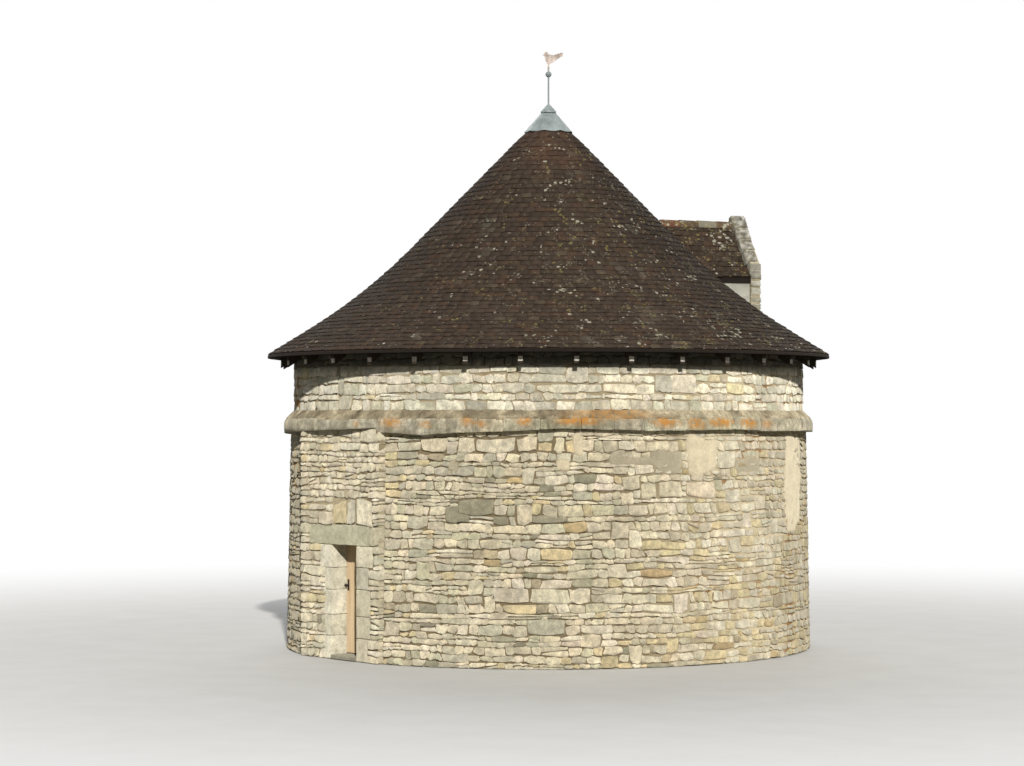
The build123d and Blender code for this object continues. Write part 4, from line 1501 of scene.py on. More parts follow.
@dataclass
class Doorway:
    """The dressed stones round the door: lintel, jambs in blocks, and the worn sill."""

    left: float = -0.2
    right: float = 0.45
    head: float = 1.76
    front: float = -4.185
    back: float = -3.905
    proud: float = 0.016
    lintel_half: float = 0.785
    lintel_top: float = 2.075
    left_cuts: tuple[float, ...] = (0.0, 0.355, 0.68, 1.065, 1.403, 1.76)
    left_ends: tuple[float, ...] = (-0.475, -0.485, -0.47, -0.485, -0.5)
    right_cuts: tuple[float, ...] = (0.0, 0.356, 0.69, 1.1, 1.435, 1.76)
    right_ends: tuple[float, ...] = (0.73, 0.81, 0.81, 0.75, 0.87)
    sill_top: float = 0.07
    sill_front: float = -4.222
    sill_back: float = -3.817

    def _block(
        self, store: MeshStore, low: Sequence[float], high: Sequence[float], axis: int, colour: Sequence[float],
        seed: int, edge: float = 0.008,
    ) -> None:
        """Add one dressed block, a little uneven on every face."""
        points = weather(soft_box(low, high, axis, edge, 0.055), 0.0022, 0.11, seed)
        points[..., 2] = np.maximum(points[..., 2], GROUND_GAP)
        tones = linear(colour) * (1 + 0.09 * noise(points, 0.2, seed + 9)[..., None])
        tones[..., 3] = 0.3
        store.add_loops(points[None], tones[None])

    def build(self, stone: Material) -> None:
        """Build the doorway's stones."""
        front = self.front - self.proud
        lintel = MeshStore()
        low = (-self.lintel_half, front, self.head + 0.002)
        high = (self.lintel_half, self.back, self.lintel_top - 0.002)
        self._block(lintel, low, high, 0, (202, 198, 172), 51, edge=0.01)
        lintel.place("lintel_stone", "dressed_stone", stone, 40, "door_lintel")
        creams = ((232, 226, 205), (222, 216, 194), (234, 228, 208), (226, 220, 198), (232, 226, 206))
        fronts = ((222, 214, 190), (214, 206, 182), (220, 212, 186), (206, 200, 180), (224, 216, 192))
        for name, inner, cuts, ends, colours in (
            ("left", self.left, self.left_cuts, self.left_ends, creams),
            ("right", self.right, self.right_cuts, self.right_ends, fronts),
        ):
            store = MeshStore()
            for number, (foot, top, end) in enumerate(zip(cuts, cuts[1:], ends)):
                low = (min(inner, end), front + 0.003 * (number % 2), foot + 0.003)
                high = (max(inner, end), self.back, top - 0.003)
                self._block(store, low, high, 2, colours[number], 60 + 10 * number)
            store.place(f"jamb_stones_{name}", "dressed_stone", stone, 40, f"door_jamb_{name}")
        sill = MeshStore()
        low, high = (self.left, self.sill_front, 0), (self.right, self.sill_back, self.sill_top)
        points = weather(soft_box(low, high, 0, 0.012, 0.05), 0.002, 0.12, 58)
        middle = (self.left + self.right) / 2
        worn = 0.01 * np.exp(-(((points[..., 0] - middle) / 0.18) ** 2)) * (points[..., 2] > 0.04)
        points[..., 2] = np.maximum(points[..., 2] - worn, GROUND_GAP)
        sill.add_loops(points[None], np.array([linear((152, 148, 132))]))
        sill.place("sill_stone", "dressed_stone", stone, 40, "door_sill")


@dataclass
class Door:
    """The new plank door: boards with softened edges, in place of the plain leaf."""

    left: float = -0.245
    right: float = 0.495
    outer_y: float = -3.9
    inner_y: float = -3.86
    foot: float = 0.08
    top: float = 1.8
    boards: int = 6
    gap: float = 0.0025

    def build(self, wood: Material, iron: Material) -> None:
        """Build the boards and dress the ironwork."""
        edges = np.linspace(self.left, self.right, self.boards + 1)
        rng = draws_of(70)
        store = MeshStore()
        for number in range(self.boards):
            low = (edges[number] + (self.gap if number else 0), self.outer_y + 0.001, self.foot + 0.001)
            high = (edges[number + 1] - (self.gap if number < self.boards - 1 else 0), self.inner_y, self.top - 0.001)
            tone = np.array([[*(rng.uniform(0.86, 1) * rng.uniform(0.97, 1, 3)), 1]])
            store.add_loops(soft_box(low, high, 2, 0.004, 0.12)[None], tone)
        place_piece(store.build("door_boards", sharp=30), "new_wood", wood, ["door_leaf"], body="door")
        dress_nodes(["door_straps", "door_lock", "door_pintles"], iron)


@dataclass
class RoofShape:
    """The roof's surface: a cone that bends outwards into a flatter skirt."""

    inner_r: float = 3.3
    upper_r: float = 4.125
    eave_r: float = 4.58
    heel_z: float = 5.001
    bend_inset: float = 0.314
    skirt_deg: float = 31.8
    cone_deg: float = 45.7
    bend_r: float = 8.8
    bend_steps: int = 6

    def __post_init__(self) -> None:
        """Work out the outline from the apex down to the eave, and lengths along it."""
        cone, skirt = math.radians(self.cone_deg), math.radians(self.skirt_deg)
        meet_r = self.inner_r - self.bend_inset
        meet_z = self.heel_z + math.tan(skirt) * (self.upper_r - meet_r)
        reach = self.bend_r * math.tan((cone - skirt) / 2)
        start_r, start_z = meet_r - reach * math.cos(cone), meet_z + reach * math.sin(cone)
        angles = np.linspace(cone, skirt, self.bend_steps + 1)
        bend_r = start_r + self.bend_r * (math.sin(cone) - np.sin(angles))
        bend_z = start_z - self.bend_r * (np.cos(angles) - math.cos(cone))
        apex_z = meet_z + math.tan(cone) * meet_r
        eave_z = self.heel_z - math.tan(skirt) * (self.eave_r - self.upper_r)
        self.radii = np.concatenate([[0], bend_r, [self.eave_r]])
        self.heights = np.concatenate([[apex_z], bend_z, [eave_z]])
        steps = np.hypot(np.diff(self.radii), np.diff(self.heights))
        self.falls = np.concatenate([[0], np.cumsum(steps)])

    def height(self, radius: Array) -> Array:
        """Give the surface's height at radii."""
        return np.interp(radius, self.radii, self.heights)

    def fall_at(self, radius: float) -> float:
        """Give the length down the slope from the apex at a radius."""
        return float(np.interp(radius, self.radii, self.falls))

    def place(self, fall: Array, bearing: Array, lift: Array) -> Array:
        """Put points at a length down the slope and a bearing, lifted off the surface."""
        radius = np.interp(fall, self.falls, self.radii)
        height = np.interp(fall, self.falls, self.heights)
        steep = np.interp(radius, [self.radii[1], self.radii[-2]], [self.cone_deg, self.skirt_deg])
        steep = np.radians(steep)
        radius = np.minimum(radius + lift * np.sin(steep), self.eave_r - 0.002)
        return around(radius, bearing, height + lift * np.cos(steep))


@dataclass(frozen=True)
class PlainTile:
    """One plain tile: its length, thickness and camber, and how it lies on the rows below."""

    length: float = 0.205
    gauge: float = 0.115
    width: float = 0.17
    thick: float = 0.012
    camber: float = 0.0035
    tail_lift: float = 0.021
    head_lift: float = 0.002

    def shape(self, corners: Array, normals: Array, rng: Draws) -> Array:
        """Shape tiles over their four corners.

        Each tile is a 4 by 5 grid, u across from -1 to 1 and v up the slope, with a skirt at the
        sides and the tail. Its top is cambered by c * (1 - u^2).

        Args:
            corners: Top corners of (n, 4, 3), from the tail's left to the head's left.
            normals: The roof's normal at each tile.
            rng: Source of the wear.

        Returns:
            Points of (n, 4, 5, 3).
        """
        count = len(corners)
        u, v = np.meshgrid([-1.012, -1, 0, 1, 1.012], [-0.012, 0, 0.55, 1])
        left, right = (1 - u) / 2, (1 + u) / 2
        weights = np.stack([left * (1 - v), right * (1 - v), right * v, left * v], axis=-1)
        points = np.einsum("rck,nkd->nrcd", weights, corners)
        drop = np.zeros((4, 5))
        drop[0, :] = drop[:, 0] = drop[:, 4] = self.thick
        camber = self.camber * rng.uniform(0.2, 1.6, (count, 1, 1)) * (1 - np.minimum(u ** 2, 1)) * (1 - 0.4 * v)
        lift = camber - drop + rng.normal(0, 0.0007, (count, 4, 5)) * (drop == 0)
        return points + lift[..., None] * normals[:, None, None, :]


def tile_tones(count: int, rng: Draws) -> Array:
    """Colour tiles."""
    base = np.tile([3, 2.2, 1.6, 1.6, 0.3], (count, 1))
    return draw_tones(base, np.full(count, -1), tone_table(TileTone), rng, 0.035)


@dataclass
class MainRoof:
    """The conical roof: every tile in its row, open round the dormer."""

    shape: RoofShape
    dormer: Dormer
    tile: PlainTile = PlainTile()
    top_r: float = 0.35
    cheek: float = 0.7
    growths: tuple[tuple, ...] = (
        (
            (158, 152, 132),
            (
                (65.8, 2.79, 0.12), (73.3, 2.67, 0.1), (74.4, 3.65, 0.22), (71.7, 3.91, 0.12), (75.2, 4.41, 0.12),
                (77, 4.41, 0.1), (73.9, 4.21, 0.1), (57.3, 4.33, 0.1), (65.4, 4.37, 0.1), (105, 4.19, 0.14),
                (0.1, 1.89, 0.11), (21.6, 1.94, 0.11), (23.7, 2.07, 0.1), (3.1, 2.76, 0.11), (23.7, 2.8, 0.11),
                (27.8, 2.41, 0.1), (92, 2, 0.1), (61.9, 2, 0.09), (80.7, 2.72, 0.1), (94.3, 1.63, 0.09),
                (94.8, 3.66, 0.12), (22.8, 4.21, 0.12),
            ),
        ),
        (
            (104, 98, 56),
            ((72.2, 1.53, 0.13), (95, 3.95, 0.18), (84, 3.3, 0.14), (-8, 4.3, 0.14), (12, 4.3, 0.13)),
        ),
        (
            (112, 72, 56),
            ((17.1, 3.02, 0.18), (38, 0.75, 0.16), (50, 0.65, 0.16), (63, 0.85, 0.18), (45, 1, 0.14)),
        ),
    )

    def _rows(self, rng: Draws) -> tuple[Array, Array, Array, Array]:
        """List every tile's tail, row number, and left and right bearing."""
        shape, tile = self.shape, self.tile
        eave = shape.falls[-1] - 0.022
        rows = int((eave - shape.fall_at(self.top_r)) / tile.gauge)
        parts = []
        for row in range(rows):
            tail = eave - row * tile.gauge
            radius = float(np.interp(tail - tile.length / 2, shape.falls, shape.radii))
            count = max(9, round(2 * math.pi * radius / tile.width))
            edges = (np.arange(count) + rng.uniform(0, 1) + rng.normal(0, 0.03, count)) * 360 / count
            ends = np.roll(edges, -1) + 360 * (np.arange(count) == count - 1)
            parts.append(np.stack([np.full(count, tail), np.full(count, row), edges, ends]))
        return tuple(np.concatenate(parts, axis=1))

    def _covered(self, middle: Array) -> Array:
        """Say which tiles would lie inside the dormer."""
        dormer = self.dormer
        out_x, out_y = bearing_turn(dormer.bearing)
        out = middle[:, 0] * out_x + middle[:, 1] * out_y
        across = np.abs(middle[:, 1] * out_x - middle[:, 0] * out_y)
        under = dormer.ridge_z - dormer.slope * across > middle[:, 2] + 0.05
        room = (across < self.cheek) & (out < dormer.gable_back) & (out > 0.5) & under
        wall = (across < dormer.gable_half) & (out >= dormer.gable_back) & (out < dormer.gable_front)
        return room | wall

    def _tones(self, middle: Array, rng: Draws) -> Array:
        """Colour the tiles: a base for each, then the listed blotches, painted shade towards both sides, thicker
        growth to the right.
        """
        turn = np.degrees(np.arctan2(middle[:, 0], -middle[:, 1]))
        radius = np.hypot(middle[:, 0], middle[:, 1])
        colours = tile_tones(len(middle), rng)
        lichened = np.zeros(len(middle))
        for colour, places in self.growths:
            for bearing, reach, size in places:
                x, y = bearing_turn(bearing)
                away = np.hypot(middle[:, 0] - reach * x, middle[:, 1] - reach * y)
                part = (1 - ease(away, 0.5 * size, 1.1 * size))[:, None]
                colours[:, :3] += 0.1 * part * (linear(colour)[:3] - colours[:, :3])
                lichened = np.maximum(lichened, part[:, 0])
        top = 0.16 * (1 - ease(radius, 0.5, 1.4))[:, None]
        colours[:, :3] += top * (linear((104, 74, 60))[:3] - colours[:, :3])
        # Painted shade: tiles darker towards the right from bearing 78 and towards the left below bearing 20.
        shade = 0.4 * hump(turn, 78, 106, 150, 175) + 0.2 * ease(-turn, -24, 20)
        colours[:, :3] *= (1 - shade)[:, None]
        spread = 0.3 + 0.45 * hump(turn, 10, 70, 130, 160)
        colours[:, 3] = np.clip(spread + 0.35 * (colours[:, 3] - 0.5) + 0.6 * lichened, 0, 1)
        return colours

    def build(self, clay: Material, deck: Material) -> None:
        """Lay the tiles in four pieces over the CAD covering."""
        rng = draws_of(80)
        shape, tile = self.shape, self.tile
        tail, number, left, right = self._rows(rng)
        count = len(tail)
        head = tail - tile.length
        gap = np.degrees(0.001 / np.maximum(np.interp(tail, shape.falls, shape.radii), 0.3))
        left, right = left + gap, right - gap
        slip = rng.normal(0, 0.0035, count) + np.where(rng.random(count) < 0.012, rng.uniform(0.01, 0.03, count), 0)
        slip = np.where(number == 0, np.clip(slip, -0.006, 0.003), slip)
        twist = rng.normal(0, 0.0022, count)
        tail_lift = tile.tail_lift + rng.normal(0, 0.0022, count)
        corners = np.stack(
            [
                shape.place(tail + slip + twist, left, tail_lift + rng.normal(0, 0.0012, count)),
                shape.place(tail + slip - twist, right, tail_lift + rng.normal(0, 0.0012, count)),
                shape.place(head + slip - twist, right, tile.head_lift),
                shape.place(head + slip + twist, left, tile.head_lift),
            ],
            axis=1,
        )
        middle = corners.mean(axis=1)
        bearing = (left + right) / 2
        normals = shape.place(head, bearing, np.ones(count)) - shape.place(head, bearing, np.zeros(count))
        normals /= np.linalg.norm(normals, axis=1, keepdims=True)
        points, colours = tile.shape(corners, normals, rng), self._tones(middle, rng)
        reach = np.hypot(points[..., 0], points[..., 1])[..., None]
        points[..., :2] *= np.minimum(1, (shape.eave_r - 0.002) / reach)
        keep = ~self._covered(middle)
        for quarter in range(4):
            part = keep & (bearing % 360 // 90 == quarter)
            store = MeshStore().add_sheets(points[part], colours[part], backed=True)
            store.place(f"roof_tiles_laid_{quarter + 1}", "clay_tile", clay)
        dress_nodes([f"roof_tiles_{number}" for number in range(1, 7)], deck)


@dataclass
class Dormer:
    """The flight dormer: tiled slopes, ridge tiles, coped gable and rendered cheeks."""

    shape: RoofShape
    tile: PlainTile = PlainTile(length=0.19, gauge=0.112, width=0.165)
    bearing: float = 158.0
    ridge_z: float = 6.981
    slope: float = 1.25
    eave_half: float = 0.75
    gable_back: float = 3.27
    gable_front: float = 3.43
    gable_half: float = 0.76
    gable_rise: float = 0.865
    side_h: float = 0.625
    window_half: float = 0.25
    window_h: float = 0.6
    ledge_half: float = 0.34
    ledge_reach: float = 0.15
    ledge_h: float = 0.06
    ridge_colours: tuple[Colour, ...] = ((100, 74, 58), (112, 76, 56), (98, 82, 64), (138, 132, 116), (100, 82, 64))

    def __post_init__(self) -> None:
        """Read the heights that follow the roof from the frame."""
        self.peak_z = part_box("dormer_gable")[1].z
        self.shoulder_z = self.peak_z - self.gable_rise
        self.sill_z = self.shoulder_z - self.side_h
        self.foot_z = float(self.shape.height(self.gable_front))
        self.ridge_start = float(np.interp(-self.ridge_z, -self.shape.heights, self.shape.radii))

    def _outline_half(self, height: float) -> float:
        """Give the gable's half width at a height."""
        part = (self.peak_z - height) / self.gable_rise
        return self.gable_half * min(max(part, 0), 1)

    def _keep(self, store: MeshStore, points: Array, tones: Array) -> None:
        """Turn a block to the dormer's bearing and keep it with its tones."""
        tones = np.broadcast_to(tones, points.shape[:2] + (4,))
        store.add_loops(turn_to(points, self.bearing)[None], tones[None])

    def build_slopes(self, clay: Material, deck: Material) -> None:
        """Tile both slopes in rows along the ridge, where they stand above the main roof."""
        tile = self.tile
        angle = math.atan(self.slope)
        length = self.eave_half / math.cos(angle)
        rng = draws_of(90)
        columns = int((self.gable_back - self.ridge_start + 0.4) / tile.width) + 1
        row, column = (part.ravel() for part in np.meshgrid(range(int(length / tile.gauge) + 1), range(columns)))
        tail = length + 0.012 - row * tile.gauge
        near = self.gable_back - 0.004 - tile.width * (column + 1 - (row % 2) / 2)
        far = np.minimum(near + tile.width - 0.003, self.gable_back + 0.01)
        tail, near, far = (part[far - near > 0.03] for part in (tail, near, far))
        count = len(tail)
        head = np.maximum(tail - tile.length, 0.01)
        level, steep = math.cos(angle), math.sin(angle)
        for side, name in ((-1, "left"), (1, "right")):
            lift = tile.tail_lift + rng.normal(0, 0.003, count)
            slip = rng.normal(0, 0.004, count)
            ends = (near, far, far, near) if side < 0 else (far, near, near, far)
            fall = np.stack([tail + slip, tail + slip, head + slip, head + slip], axis=1)
            raised = np.stack([lift, lift, 0 * lift + tile.head_lift, 0 * lift + tile.head_lift], axis=1)
            across = side * (fall * level + raised * steep)
            height = self.ridge_z - fall * steep + raised * level
            corners = turn_to(xyz(np.stack(ends, axis=1), across, height), self.bearing)
            middle = corners.mean(axis=1)
            keep = middle[:, 2] > self.shape.height(np.hypot(middle[:, 0], middle[:, 1]))
            normal = turn_to(np.array([0, side * steep, level]), self.bearing)
            points = tile.shape(corners, np.tile(normal, (count, 1)), rng)
            colours = tile_tones(count, rng)
            store = MeshStore().add_sheets(points[keep], colours[keep], backed=True)
            store.place(f"dormer_tiles_{name}", "clay_tile", clay)
        dress_nodes(["dormer_roof_left", "dormer_roof_right"], deck)

    def build_ridge(self, clay: Material) -> None:
        """Lay half-round ridge tiles, each lapping the next, bedded in mortar."""
        rng = draws_of(95)
        start = self.ridge_start - 0.1
        length = (self.gable_back - start) / len(self.ridge_colours)
        angles = np.radians(np.linspace(-8, 188, 9))
        ring = np.stack([np.cos(angles), np.sin(angles)], axis=-1)
        store = MeshStore()
        for number, colour in enumerate(self.ridge_colours):
            outs = start + length * (number + np.array([-0.06, 0, 0.45, 0.94]))
            wide = (np.array([0.106, 0.11, 0.105, 0.1]) + rng.normal(0, 0.002))[:, None, None]
            outline = np.concatenate([ring * wide, ring[::-1] * (wide - 0.016)], axis=1)
            lift = self.ridge_z - 0.075 + rng.normal(0, 0.003)
            points = xyz(outs[:, None], outline[..., 0], outline[..., 1] + lift)
            tones = linear(colour) * (1 + 0.25 * noise(points, 0.06, 96)[..., None])
            self._keep(store, points, tones)
        store.place("ridge_tiles", "clay_tile", clay, 40, "dormer_ridge")

    def _course_gable(self) -> tuple[Array, Array]:
        """Lay the gable's face round the flight window."""
        sill, head = self.sill_z, self.sill_z + self.window_h
        window, jamb = self.window_half, self.window_half + 0.17
        features = spots((
            (-jamb, -window, sill, sill + 0.29, BEIGE), (-jamb + 0.04, -window, sill + 0.29, head, CREAM),
            (window, jamb - 0.04, sill, sill + 0.3, CREAM), (window, jamb, sill + 0.3, head, BEIGE),
            (-jamb - 0.03, jamb + 0.03, head, head + 0.19, BEIGE),
        ))
        coursing = Coursing(
            -self.gable_half, self.gable_half, (self.foot_z - 0.06, sill, head, head + 0.19, self.peak_z - 0.1),
            97, course=(0.11, 0.17), sway=0.01, slant=0.01, tall_share=0, wedge_share=0.06, thin_cut=0.6,
            keep_outs=(Spot(-window, window, sill, head),), features=features, half_width=self._outline_half,
        )
        return coursing.lay()

    def build_gable(self, stone: Material, core: Material) -> None:
        """Face the gable, and lay its coping, kneelers and ledge."""
        face = FlatFace(self.gable_front, self.bearing)
        corners, tones = self._course_gable()
        rng = draws_of(98)
        limit, along = self.gable_half - 0.03, corners[..., 0]
        returns = side_returns(corners, limit, self.gable_front - self.gable_back)
        corners[..., 0] *= np.where(np.abs(along) > limit, 1 + 0.012 / self.gable_half, 1)
        weights = np.tile([0.5, 0.8, 1.6, 3, 1.2, 1.2, 0, 0, 0, 0.1], (len(corners), 1))
        # The tone table is taken darker and bluer here: partly greyer stone, partly painted shade.
        colours = draw_tones(weights, tones, np.array([0.7, 0.73, 0.8, 1]) * tone_table(StoneTone), rng, 0.12)
        relief = Relief(0.014, 0.003, top_drop=0.008, bulge=0.003, bed_joint=0.009, corner=0.02, under=0.004)
        points, deep = pillow_stones(face, corners, relief, rng, returns)
        # The gable's joints take painted shade in one dark earth colour.
        colours = paint_joint_shade(colours, deep, np.tile(linear((98, 90, 72)), (len(corners), 1)))
        MeshStore().add_sheets(points, colours, backed=True).place("gable_facing", "gable_stone", stone, 60)
        self._build_coping(stone)
        ledge = MeshStore()
        low = (self.gable_front - 0.01, -self.ledge_half, self.sill_z - self.ledge_h)
        high = (self.gable_front + self.ledge_reach, self.ledge_half, self.sill_z)
        points = weather(soft_box(low, high, 1, 0.01, 0.05), 0.003, 0.1, 104)
        self._keep(ledge, points, linear((186, 180, 160)))
        ledge.place("ledge_slab", "gable_stone", stone, 40, "dormer_ledge")
        dress_nodes(["dormer_gable"], core)

    def _crust(self, points: Array) -> Array:
        """Colour coping stones: smooth and beige at the back, rough and speckled in front."""
        speck = 0.7 * noise(points, 0.055, 105) + 0.6 * noise(points, 0.026, 106)
        stops = ((-0.6, (74, 73, 67)), (-0.2, (130, 128, 119)), (0.15, (172, 170, 160)), (0.55, (216, 214, 205)))
        tones = blend_tones(speck, stops)
        smooth = 0.35 * (1 - ease(points[..., :1] + 0.02 * speck[..., None], 3.275, 3.3))
        tones += smooth * (linear((166, 160, 142)) - tones)
        tones[..., 3] = 0.2
        return tones

    def _build_coping(self, stone: Material) -> None:
        """Lay rough coping blocks up both edges of the gable, with kneelers and an apex stone."""
        store = MeshStore()
        rng = draws_of(101)
        run, rise = self.gable_half, self.gable_rise
        length = math.hypot(run, rise)
        back, front = self.gable_back - 0.065, self.gable_front + 0.03
        pieces = 4
        for side in (-1, 1):
            for number in range(pieces):
                start, end = 0.07 + (length - 0.1) * (number + np.array([0, 1])) / pieces
                taper = 0.05 * (1 - (number + 0.5) / pieces)
                low = (back + rng.uniform(0, 0.008), start + 0.004, -rng.uniform(0.1, 0.13))
                high = (front - taper + rng.uniform(-0.006, 0.006), end - 0.004, rng.uniform(0.008, 0.016))
                box = weather(soft_box(low, high, 1, 0.014, 0.028), 0.0085, 0.09, 110 + 20 * number + side)
                along, up = box[..., 1] / length, box[..., 2] / length
                across = side * (run - run * along + rise * up)
                height = np.minimum(self.shoulder_z + rise * along + run * up, self.peak_z + 0.02)
                self._keep(store, xyz(box[..., 0], across, height), self._crust(box))
            ends = sorted((side * (self.gable_half - 0.17), side * (self.gable_half + 0.012)))
            low = (self.gable_back - 0.012, ends[0], self.shoulder_z - 0.185)
            high = (self.gable_front + 0.016, ends[1], self.shoulder_z + 0.02)
            points = weather(soft_box(low, high, 1, 0.012, 0.05), 0.004, 0.1, 107 + side)
            # Kneelers in a grey that is partly painted shade.
            self._keep(store, points, linear((170, 168, 156)))
        low = (back, -0.085, self.peak_z - 0.16)
        high = (front + 0.004, 0.085, self.peak_z - 0.004)
        points = weather(soft_box(low, high, 0, 0.03, 0.03), 0.008, 0.08, 109)
        self._keep(store, points, self._crust(points))
        store.place("gable_coping", "gable_stone", stone, 45)

    def build(self, clay: Material, deck: Material, stone: Material, core: Material, render: Material) -> None:
        """Build the whole dormer."""
        self.build_slopes(clay, deck)
        self.build_ridge(clay)
        self.build_gable(stone, core)
        dress_nodes(["dormer_cheek_left", "dormer_cheek_right"], render)


@dataclass
class Crown:
    """The sheet cap with its scalloped edge, the finial and the bird vane."""

    edge_r: float = 0.39
    edge_z: float = 8.402
    top_r: float = 0.12
    top_z: float = 8.715
    lobes: int = 9
    scallop: float = 0.016
    sheet: float = 0.004

    def build(self, zinc: Material, vane: Material) -> None:
        """Build the cap and dress the finial and the vane.

        The cap is a cone whose lower edge follows a half wave between lobes, with a small lip
        and a shallow rib on each lobe. A second surface one sheet inside it closes the shell.
        """
        bearing = np.linspace(0, 360, self.lobes * 10 + 1)
        part = np.array([0, 0.05, 0.25, 0.5, 0.75, 0.96])[:, None]
        wave = np.abs(np.sin(np.radians(bearing) * self.lobes / 2))[None, :]
        radius = self.edge_r + (self.top_r - self.edge_r) * part
        radius = radius + 0.006 * (1 - part) * (1 - wave) ** 2 + np.where(part < 0.04, 0.003, 0)
        radius = radius + 0.003 * line_noise(bearing, 0, 40, 121)[None, :] * (1 - part)
        height = self.edge_z + (self.top_z - self.edge_z) * part - self.scallop * wave * (1 - part) ** 6
        inner = (radius[::-1] - self.sheet, height[::-1] - self.sheet)
        pole = np.zeros((1, len(bearing)))
        radius = np.concatenate([radius, pole, pole, inner[0], radius[:1]])
        height = np.concatenate([height, pole + self.top_z, pole + self.top_z - self.sheet, inner[1], height[:1]])
        points = around(radius, bearing, height)
        piece = MeshStore().add_sheets(points[None], np.ones((1, 4))).build("cap_sheet", sharp=35)
        close_seams(piece)
        place_piece(piece, "zinc_sheet", zinc, ["roof_cap"])
        dress_nodes(["finial"], zinc)
        dress_nodes(["weathervane"], vane)


def close_seams(piece: bpy.types.Object) -> None:
    """Merge points that lie on each other, so that seams and poles are closed."""
    work = bmesh.new()
    work.from_mesh(piece.data)
    bmesh.ops.remove_doubles(work, verts=work.verts, dist=1e-5)
    bmesh.ops.recalc_face_normals(work, faces=work.faces)
    work.to_mesh(piece.data)
    work.free()


@dataclass
class Studio:
    """The floor, the light and the camera at the photograph's viewing angle."""

    camera_bearing: float = 50.0
    camera_distance: float = 42.0
    camera_height: float = 3.68
    lens: float = 90.0
    shift: tuple[float, float] = (-36.5 / 1024, 37.0 / 1024)
    sun_bearing: float = 57.5
    sun_height: float = 27.5
    sun_strength: float = 3.22
    sky_strength: float = 0.13
    fill_strength: float = 0.9

    def _camera(self) -> None:
        """Stand the camera level, so that upright edges stay upright."""
        data = bpy.data.cameras.new("view")
        data.lens = self.lens
        data.sensor_width = 36
        data.clip_end = 400
        data.shift_x, data.shift_y = self.shift
        camera = link("view", data)
        x, y = bearing_turn(self.camera_bearing)
        camera.location = (self.camera_distance * x, self.camera_distance * y, self.camera_height)
        camera.rotation_euler = (math.pi / 2, 0, math.radians(self.camera_bearing))
        bpy.context.scene.camera = camera

    def _lights(self) -> None:
        """Set a low sun, a faint wide fill from behind and an even sky."""
        for name, energy, angle, colour, height, bearing in (
            ("key", self.sun_strength, 1.5, (1, 0.977, 0.933), self.sun_height, self.sun_bearing),
            ("fill", self.fill_strength, 50, (0.97, 0.98, 1), 32, self.sun_bearing + 176),
        ):
            data = bpy.data.lights.new(name, "SUN")
            data.energy = energy
            data.angle = math.radians(angle)
            data.color = colour
            lamp = link(name, data)
            lamp.rotation_euler = (math.radians(90 - height), 0, math.radians(bearing))
        world = bpy.data.worlds.new("sky")
        world.use_nodes = True
        sketch = Sketch(world.node_tree)
        sketch.tree.nodes.clear()
        path = sketch.add("LightPath")
        seen = sketch.math("MAXIMUM", path["Is Camera Ray"], path["Is Glossy Ray"])
        seen = sketch.math("MAXIMUM", seen, path["Is Transmission Ray"])
        sky = sketch.add("Background", {"Color": (0.93, 0.96, 1, 1), "Strength": self.sky_strength})
        white = sketch.add("Background", {"Color": FULL_WHITE, "Strength": 1})
        mixed = sketch.add("MixShader", {0: seen, 1: sky, 2: white})
        sketch.add("OutputWorld", {"Surface": mixed})
        bpy.context.scene.world = world

    def _floor(self) -> None:
        """Lay a pale floor that fades to white well away from the tower."""
        side = np.linspace(-160, 160, 9)
        x, y = np.meshgrid(side, side)
        floor = MeshStore().add_sheets(xyz(x, y, -0.004)[None], np.ones((1, 4))).build("studio_floor")
        surface = Surface("pale_floor")
        flat = surface.scale(surface.where, (1, 1, 0))
        reach = surface.add("VectorMath", {0: flat}, operation="LENGTH")["Value"]
        seen = surface.add("LightPath")["Is Camera Ray"]
        fade = reach.remap(6.5, 26) * seen
        stops = [(0.3, (226, 225, 221)), (0.7, (232, 231, 228))]
        colour = surface.ramp(surface.noise(surface.where, 1.2, 4), stops)
        colour = surface.mix(seen, linear((124, 122, 112)), colour)
        surface.feed(surface.shader.node, {"Base Color": colour, "Roughness": 0.9})
        white = surface.add("Emission", {"Color": FULL_WHITE, "Strength": 1})
        mixed = surface.add("MixShader", {0: fade, 1: surface.shader, 2: white})
        surface.feed(surface.output.node, {"Surface": mixed})
        floor.data.materials.append(surface.material)

    def build(self) -> None:
        """Set up the studio."""
        self._camera()
        self._lights()
        self._floor()
        bpy.context.scene.view_settings.view_transform = "Standard"


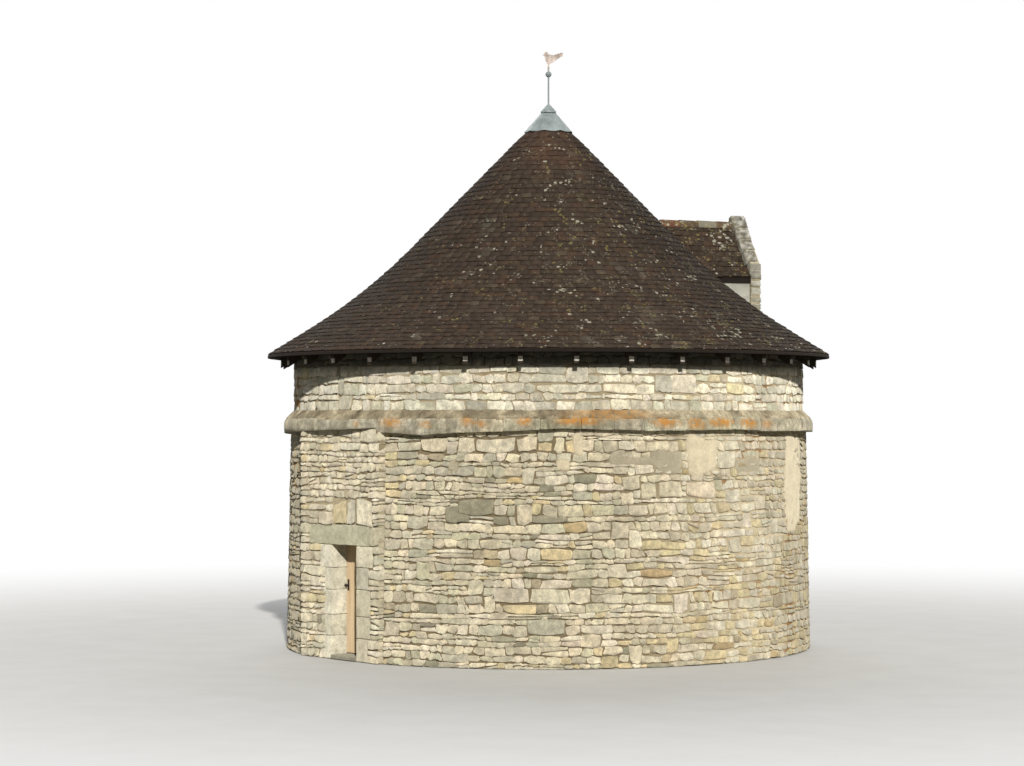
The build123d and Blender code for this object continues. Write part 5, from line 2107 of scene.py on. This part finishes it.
def main() -> None:
    """Build every sub-assembly in order."""
    logging.basicConfig(level=logging.INFO, format="%(name)s %(message)s")
    SharedEffects().build()
    rubble = StoneFinish("rubble_limestone").build()
    mortar = MortarFinish("lime_mortar").build()
    dressed = StoneFinish("dressed_limestone", 0.45, 0.25, 13, 0.004, (0.7, 1.18)).build()
    slab = StoneFinish("course_limestone", 0.6, 0.6, 12, shades=(0.42, 1.5), streaks=0.5, orange=1).build()
    crust = StoneFinish("lichened_top", 0.55, 0.5, 13, shades=(0.36, 1.56), orange=0.9).build()
    rough = StoneFinish("gable_limestone", 0.45, 0.5, 16, 0.007, streaks=0.3).build()
    core = PlainMasonry("wall_core").build()
    render = PlainMasonry("cheek_render", (208, 207, 196), (166, 164, 152), 1.1).build()
    clay = TileFinish("old_plain_tile").build()
    dormer_clay = TileFinish("dormer_tile", lichen=0.36, moss=0.26).build()
    # The roof's underside is near black: dark timber with painted shade under the eaves.
    deck = TimberFinish("roof_underside", (42, 33, 26), (28, 22, 18), rough=0.95).build()
    old_timber = TimberFinish("old_oak", (74, 62, 50), (44, 37, 30), 16, lit_end_from=4.352).build()
    new_wood = TimberFinish("new_larch", (232, 211, 174), (214, 186, 146), 26, rough=0.6, own_tone=True).build()
    level = (0, math.pi / 2, 0)
    ledge_wood = TimberFinish("ledge_larch", (226, 196, 150), (204, 168, 122), 26, level, 0.6).build()
    iron = MetalFinish("forged_iron", (84, 80, 76), (46, 44, 42), (104, 66, 42)).build()
    greys = (168, 178, 178), (136, 146, 146), (118, 122, 116)
    zinc = MetalFinish("weathered_zinc", *greys, 0.25, 0.3, (0.55, 0.75)).build()
    vane = MetalFinish("vane_sheet", (196, 184, 174), (160, 146, 138), (142, 116, 98), 0.4, 0.34).build()

    doorway = Doorway()
    walls = Walls(doorway)
    walls.build_shaft(rubble, mortar)
    walls.build_bay(rubble, mortar)
    walls.build_upper(rubble, mortar)
    names = [f"lower_wall_{n}" for n in range(1, 9)] + [f"upper_wall_{n}" for n in range(1, 5)]
    dress_nodes(names + ["door_wall_left", "door_wall_right", "door_wall_over"], core)
    StringCourse().build(slab, crust)
    doorway.build(dressed)
    Door().build(new_wood, iron)
    dress_nodes(["door_ledges"], ledge_wood)
    shape = RoofShape()
    dormer = Dormer(shape)
    MainRoof(shape, dormer).build(clay, deck)
    dress_nodes(["rafters", "king_post"], old_timber)
    dormer.build(dormer_clay, deck, rough, core, render)
    Crown().build(zinc, vane)
    Studio().build()


if __name__ == "__main__":
    main()
